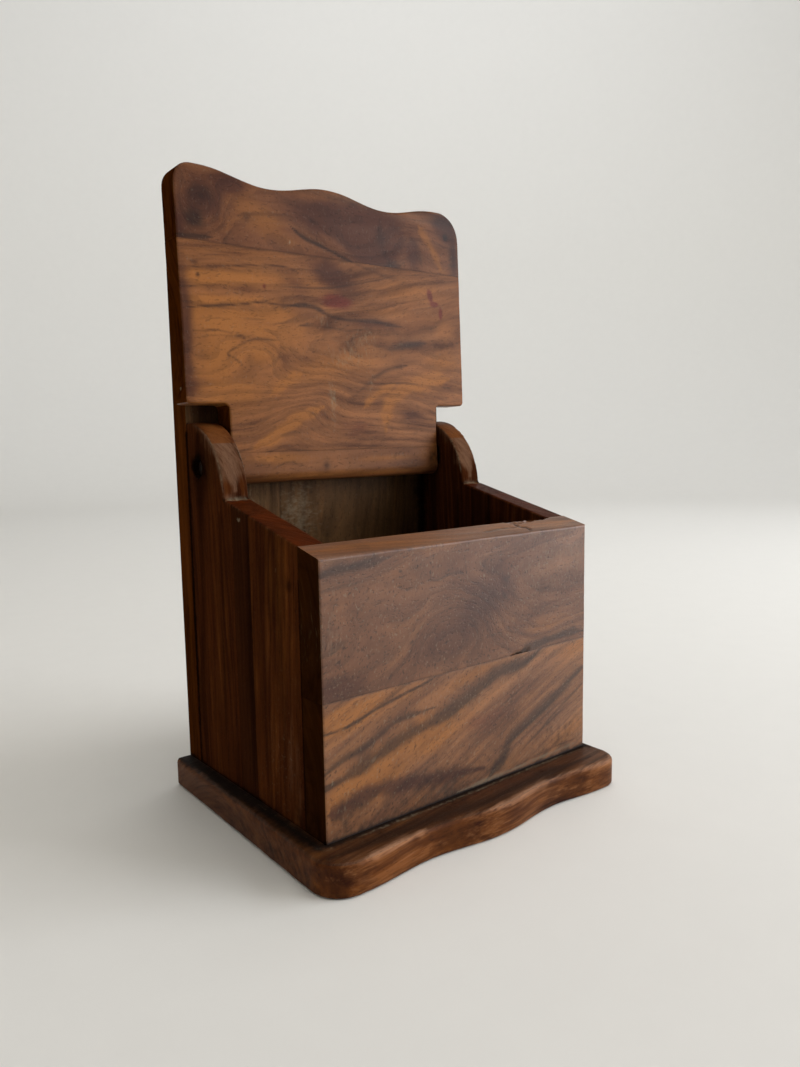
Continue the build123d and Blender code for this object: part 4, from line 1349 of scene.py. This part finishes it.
def make_board(node, body, slot, board, timber, holes=()):
    """Makes a board in place of its CAD node: its mesh, its holes, its slightly hollow faces, the
    attributes that its wood reads, and its material."""
    points, faces = board_mesh(board, timber.seed)
    piece = new_piece(node + "_wood", points, faces.tolist())
    drill(piece, holes)
    mesh = piece.data

    def read(items, name):
        """One row of three numbers for each item."""
        values = np.empty(len(items) * 3, np.float32)
        items.foreach_get(name, values)
        return values.reshape(-1, 3)

    places = read(mesh.vertices, "co").astype(float) / MM
    grain, marks, cuts = wood_fields(board, timber, places)
    wear, seam = edge_fields(board, places)
    true_place = to_frame(board, places)
    low, high = board.depth
    out = (places[:, 2] - (low + high) / 2) / (high - low) * 2
    depth = bpy.context.scene.salt_box_sizes.hollow / MM * (true_place[:, 2] / LEVEL_FOOT).clip(0, 1)
    places -= read(mesh.vertex_normals, "vector") * cuts[:, None]
    places[:, 2] -= out * depth * (0.5 + 0.5 * rough_noise(true_place, HOLLOW_SIZE, HOLLOW_SEED))
    true_place = to_frame(board, places)
    facing = np.abs(read(mesh.polygons, "normal"))
    mesh.vertices.foreach_set("co", (true_place * MM).astype(np.float32).ravel())

    # The state attribute holds worn edges, dirt with painted shade, seams and red stains.
    state = np.column_stack([EDGE_WEAR * wear + marks[:, 5], dirt_and_shade_field(true_place), seam, marks[:, 4]])
    for name, kind, field, values in (
        ("grain", "FLOAT_VECTOR", "vector", grain),
        ("figure", "FLOAT_COLOR", "color", marks[:, :4]),
        ("state", "FLOAT_COLOR", "color", state),
    ):
        mesh.attributes.new(name, kind, "POINT").data.foreach_set(field, values.ravel())
    mesh.shade_smooth()
    mesh.set_sharp_from_angle(angle=math.radians(SHARP_ANGLE))
    mesh.materials.clear()
    mesh.materials.append(wood_for(slot))
    mesh.materials.append(wood_for(slot, edge=True))
    ends = facing[:, timber.fibres] > END_GRAIN
    if slot in ("back_wood", "base_wood"):      # here all edges are as dark as the end grain
        ends |= facing[:, 2] < END_GRAIN
    mesh.polygons.foreach_set("material_index", ends.astype(np.int32))
    mesh.update()
    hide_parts(node)
    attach(piece, body)


# ---- operators ----


class SALTBOX_OT_base(bpy.types.Operator):
    """Make the base board with its wavy front edge"""

    bl_idname = "salt_box.base"
    bl_label = "Base"

    def execute(self, context):
        make_board("base_board", "box", "base_wood", base_board(), base_timber, base_holes)
        return {"FINISHED"}


class SALTBOX_OT_back(bpy.types.Operator):
    """Make the two boards of the back"""

    bl_idname = "salt_box.back"
    bl_label = "Back"

    def execute(self, context):
        make_board("back_board_left", "box", "back_wood", back_board(-1), left_back_timber, back_holes(-1))
        make_board("back_board_right", "box", "back_wood", back_board(1), right_back_timber, back_holes(1))
        return {"FINISHED"}


class SALTBOX_OT_sides(bpy.types.Operator):
    """Make the three boards of each side"""

    bl_idname = "salt_box.sides"
    bl_label = "Sides"

    def execute(self, context):
        sides = (
            (-1, "left", left_rear_timber, left_middle_timber, left_front_timber),
            (1, "right", right_rear_timber, right_middle_timber, right_front_timber),
        )
        for hand, side, rear, middle, front in sides:
            holes = [hinge_hole(hand)]
            dark_strip = rim_board(second_seam, first_seam, hand)
            corner = rim_board(front_joint, second_seam, hand)
            make_board(f"{side}_side_rear_board", "box", "side_wood", ear_board(hand), rear, holes)
            make_board(f"{side}_side_middle_board", "box", "dark_strip_wood", dark_strip, middle)
            make_board(f"{side}_side_front_board", "box", "side_wood", corner, front)
        return {"FINISHED"}


class SALTBOX_OT_front(bpy.types.Operator):
    """Make the two boards of the front"""

    bl_idname = "salt_box.front"
    bl_label = "Front"

    def execute(self, context):
        make_board("front_lower_board", "box", "front_wood", front_board(False), lower_front_timber)
        make_board("front_upper_board", "box", "front_wood", front_board(True), upper_front_timber)
        return {"FINISHED"}


class SALTBOX_OT_lid(bpy.types.Operator):
    """Make the lid: its main board, its wavy edge board and its hinge strip"""

    bl_idname = "salt_box.lid"
    bl_label = "Lid"

    def execute(self, context):
        make_board("lid_main_board", "lid", "lid_wood", lid_main_board(), lid_main_timber)
        make_board("lid_edge_board", "lid", "lid_wood", lid_edge_board(), lid_edge_timber)
        make_board("lid_hinge_strip", "lid", "lid_wood", lid_hinge_strip(), strip_timber)
        return {"FINISHED"}


class SALTBOX_OT_screws(bpy.types.Operator):
    """Give the screws their darkened steel"""

    bl_idname = "salt_box.screws"
    bl_label = "Screws"

    def execute(self, context):
        steel = darkened_steel()
        for node in ("hinge_screw_left", "hinge_screw_right", "base_screws", "back_screws"):
            mesh = frame["nodes"][node].data
            mesh.materials.clear()
            mesh.materials.append(steel)
        return {"FINISHED"}


# ---- studio, in metres ----

FLOOR_CIRCLES = ((0.001, 0.0), (0.3, 0.0), (0.8, 0.0))      # radius and height, from the middle out
WALL_CIRCLES = ((2.1, 1.4), (2.1, 2.2))
BEND_START, BEND_SIZE = 1.5, 0.6                # where the floor starts to bend upright, and how far
BOX_MIDDLE = (0.0, -0.05, 0.12)
LAMP_SIZE = 0.9             # side of the two lamps above
WORLD_COLOUR, WORLD_STRENGTH = "#dcdedd", 0.15
CAMERA_PLACE = (-0.210676, -0.325248, 0.148766)
CAMERA_TURNS = (("Z", -38.88), ("X", 83.05), ("Z", -0.984))
CAMERA_LENS, CAMERA_SENSOR = 27.75, 36.0        # in millimetres


def studio_floor():
    """Floor and backdrop: a profile of (radius, height), flat, then a quarter circle, then upright,
    carried round the upright axis."""
    bend = np.radians(np.linspace(-90, 0, 13))
    quarter = np.column_stack([BEND_START + BEND_SIZE * np.cos(bend), BEND_SIZE + BEND_SIZE * np.sin(bend)])
    radius, height = np.vstack([FLOOR_CIRCLES, quarter, WALL_CIRCLES]).T[..., None]
    turn = np.linspace(0, 2 * np.pi, 96, endpoint=False)
    places = np.stack(np.broadcast_arrays(radius * np.cos(turn), radius * np.sin(turn), height), -1)
    index = np.arange(len(radius) * len(turn)).reshape(len(radius), -1)
    around = np.roll(index, -1, axis=1)
    walls = np.stack([index[:-1], index[1:], around[1:], around[:-1]], -1).reshape(-1, 4)
    floor = new_piece("floor", places.reshape(-1, 3) / MM, [*walls.tolist(), index[0].tolist()])
    floor.data.shade_smooth()
    floor.data.materials.append(eggshell_paper())
    return floor


def soft_lamp(name, place, target, size, power, hue):
    """A square lamp turned to a target."""
    data = bpy.data.lights.new(name, "AREA")
    data.shape = "SQUARE"
    data.size = size
    data.energy = power
    data.color = linear(hue)
    lamp = bpy.data.objects.new(name, data)
    lamp.location = place
    lamp.rotation_euler = (Vector(target) - lamp.location).to_track_quat("-Z", "Y").to_euler()
    lamp.visible_camera = False
    bpy.context.scene.collection.objects.link(lamp)


def camera():
    """The camera, turned about its own axes one after the other."""
    lens = bpy.data.cameras.new("camera")
    lens.sensor_width = CAMERA_SENSOR
    lens.sensor_fit = "AUTO"
    lens.lens = CAMERA_LENS
    lens.clip_start = 0.01
    eye = bpy.data.objects.new("camera", lens)
    matrix = Matrix.Translation(CAMERA_PLACE)
    for axis, degrees in CAMERA_TURNS:
        matrix = matrix @ Matrix.Rotation(math.radians(degrees), 4, axis)
    eye.matrix_world = matrix
    bpy.context.scene.collection.objects.link(eye)
    return eye


class SALTBOX_OT_stage(bpy.types.Operator):
    """Set up the pale floor and backdrop, the soft lights and the camera"""

    bl_idname = "salt_box.stage"
    bl_label = "Studio"

    def execute(self, context):
        scene = context.scene
        sizes = scene.salt_box_sizes
        floor = studio_floor()
        soft_lamp("window_light", (1.2, -1.0, 0.5), BOX_MIDDLE, sizes.key_size, sizes.key_power, "#f3f7ff")
        soft_lamp("top_light", (0.15, -0.25, 1.5), BOX_MIDDLE, LAMP_SIZE, sizes.top_power, "#fffaf4")
        soft_lamp("backdrop_light", (0.6, 0.5, 1.9), (1.6, 2.0, 0.7), LAMP_SIZE, sizes.back_power, "#f7f9ff")

        scene.world = bpy.data.worlds.new("studio")
        scene.world.use_nodes = True
        background = scene.world.node_tree.nodes["Background"].inputs
        background["Color"].default_value = (*linear(WORLD_COLOUR), 1.0)
        background["Strength"].default_value = WORLD_STRENGTH

        scene.camera = camera()
        scene.view_settings.view_transform = "Standard"
        return {"FINISHED"}


class SALTBOX_PT_panel(bpy.types.Panel):
    """Lists the pieces, sizes and colours of the salt box"""

    bl_idname = "SALTBOX_PT_panel"
    bl_label = "Salt box"
    bl_space_type = "VIEW_3D"
    bl_region_type = "UI"
    bl_category = "Salt box"

    def draw(self, context):
        for operator in OPERATORS:
            self.layout.operator(operator.bl_idname)
        for group in (context.scene.salt_box_sizes, context.scene.salt_box_colours):
            column = self.layout.column()
            for name in group.__annotations__:
                column.prop(group, name)


OPERATORS = (
    SALTBOX_OT_base,
    SALTBOX_OT_back,
    SALTBOX_OT_sides,
    SALTBOX_OT_front,
    SALTBOX_OT_lid,
    SALTBOX_OT_screws,
    SALTBOX_OT_stage,
)
CLASSES = (SaltBoxColours, SaltBoxSizes, *OPERATORS, SALTBOX_PT_panel)


def register():
    """Registers the classes and the scene's settings."""
    for cls in CLASSES:
        bpy.utils.register_class(cls)
    bpy.types.Scene.salt_box_colours = PointerProperty(type=SaltBoxColours)
    bpy.types.Scene.salt_box_sizes = PointerProperty(type=SaltBoxSizes)


def unregister():
    """Takes back what register does."""
    del bpy.types.Scene.salt_box_sizes
    del bpy.types.Scene.salt_box_colours
    for cls in reversed(CLASSES):
        bpy.utils.unregister_class(cls)


def main():
    """Builds the whole scene."""
    register()
    bpy.ops.salt_box.base()
    bpy.ops.salt_box.back()
    bpy.ops.salt_box.sides()
    bpy.ops.salt_box.front()
    bpy.ops.salt_box.lid()
    bpy.ops.salt_box.screws()
    bpy.ops.salt_box.stage()


if __name__ == "__main__":
    main()
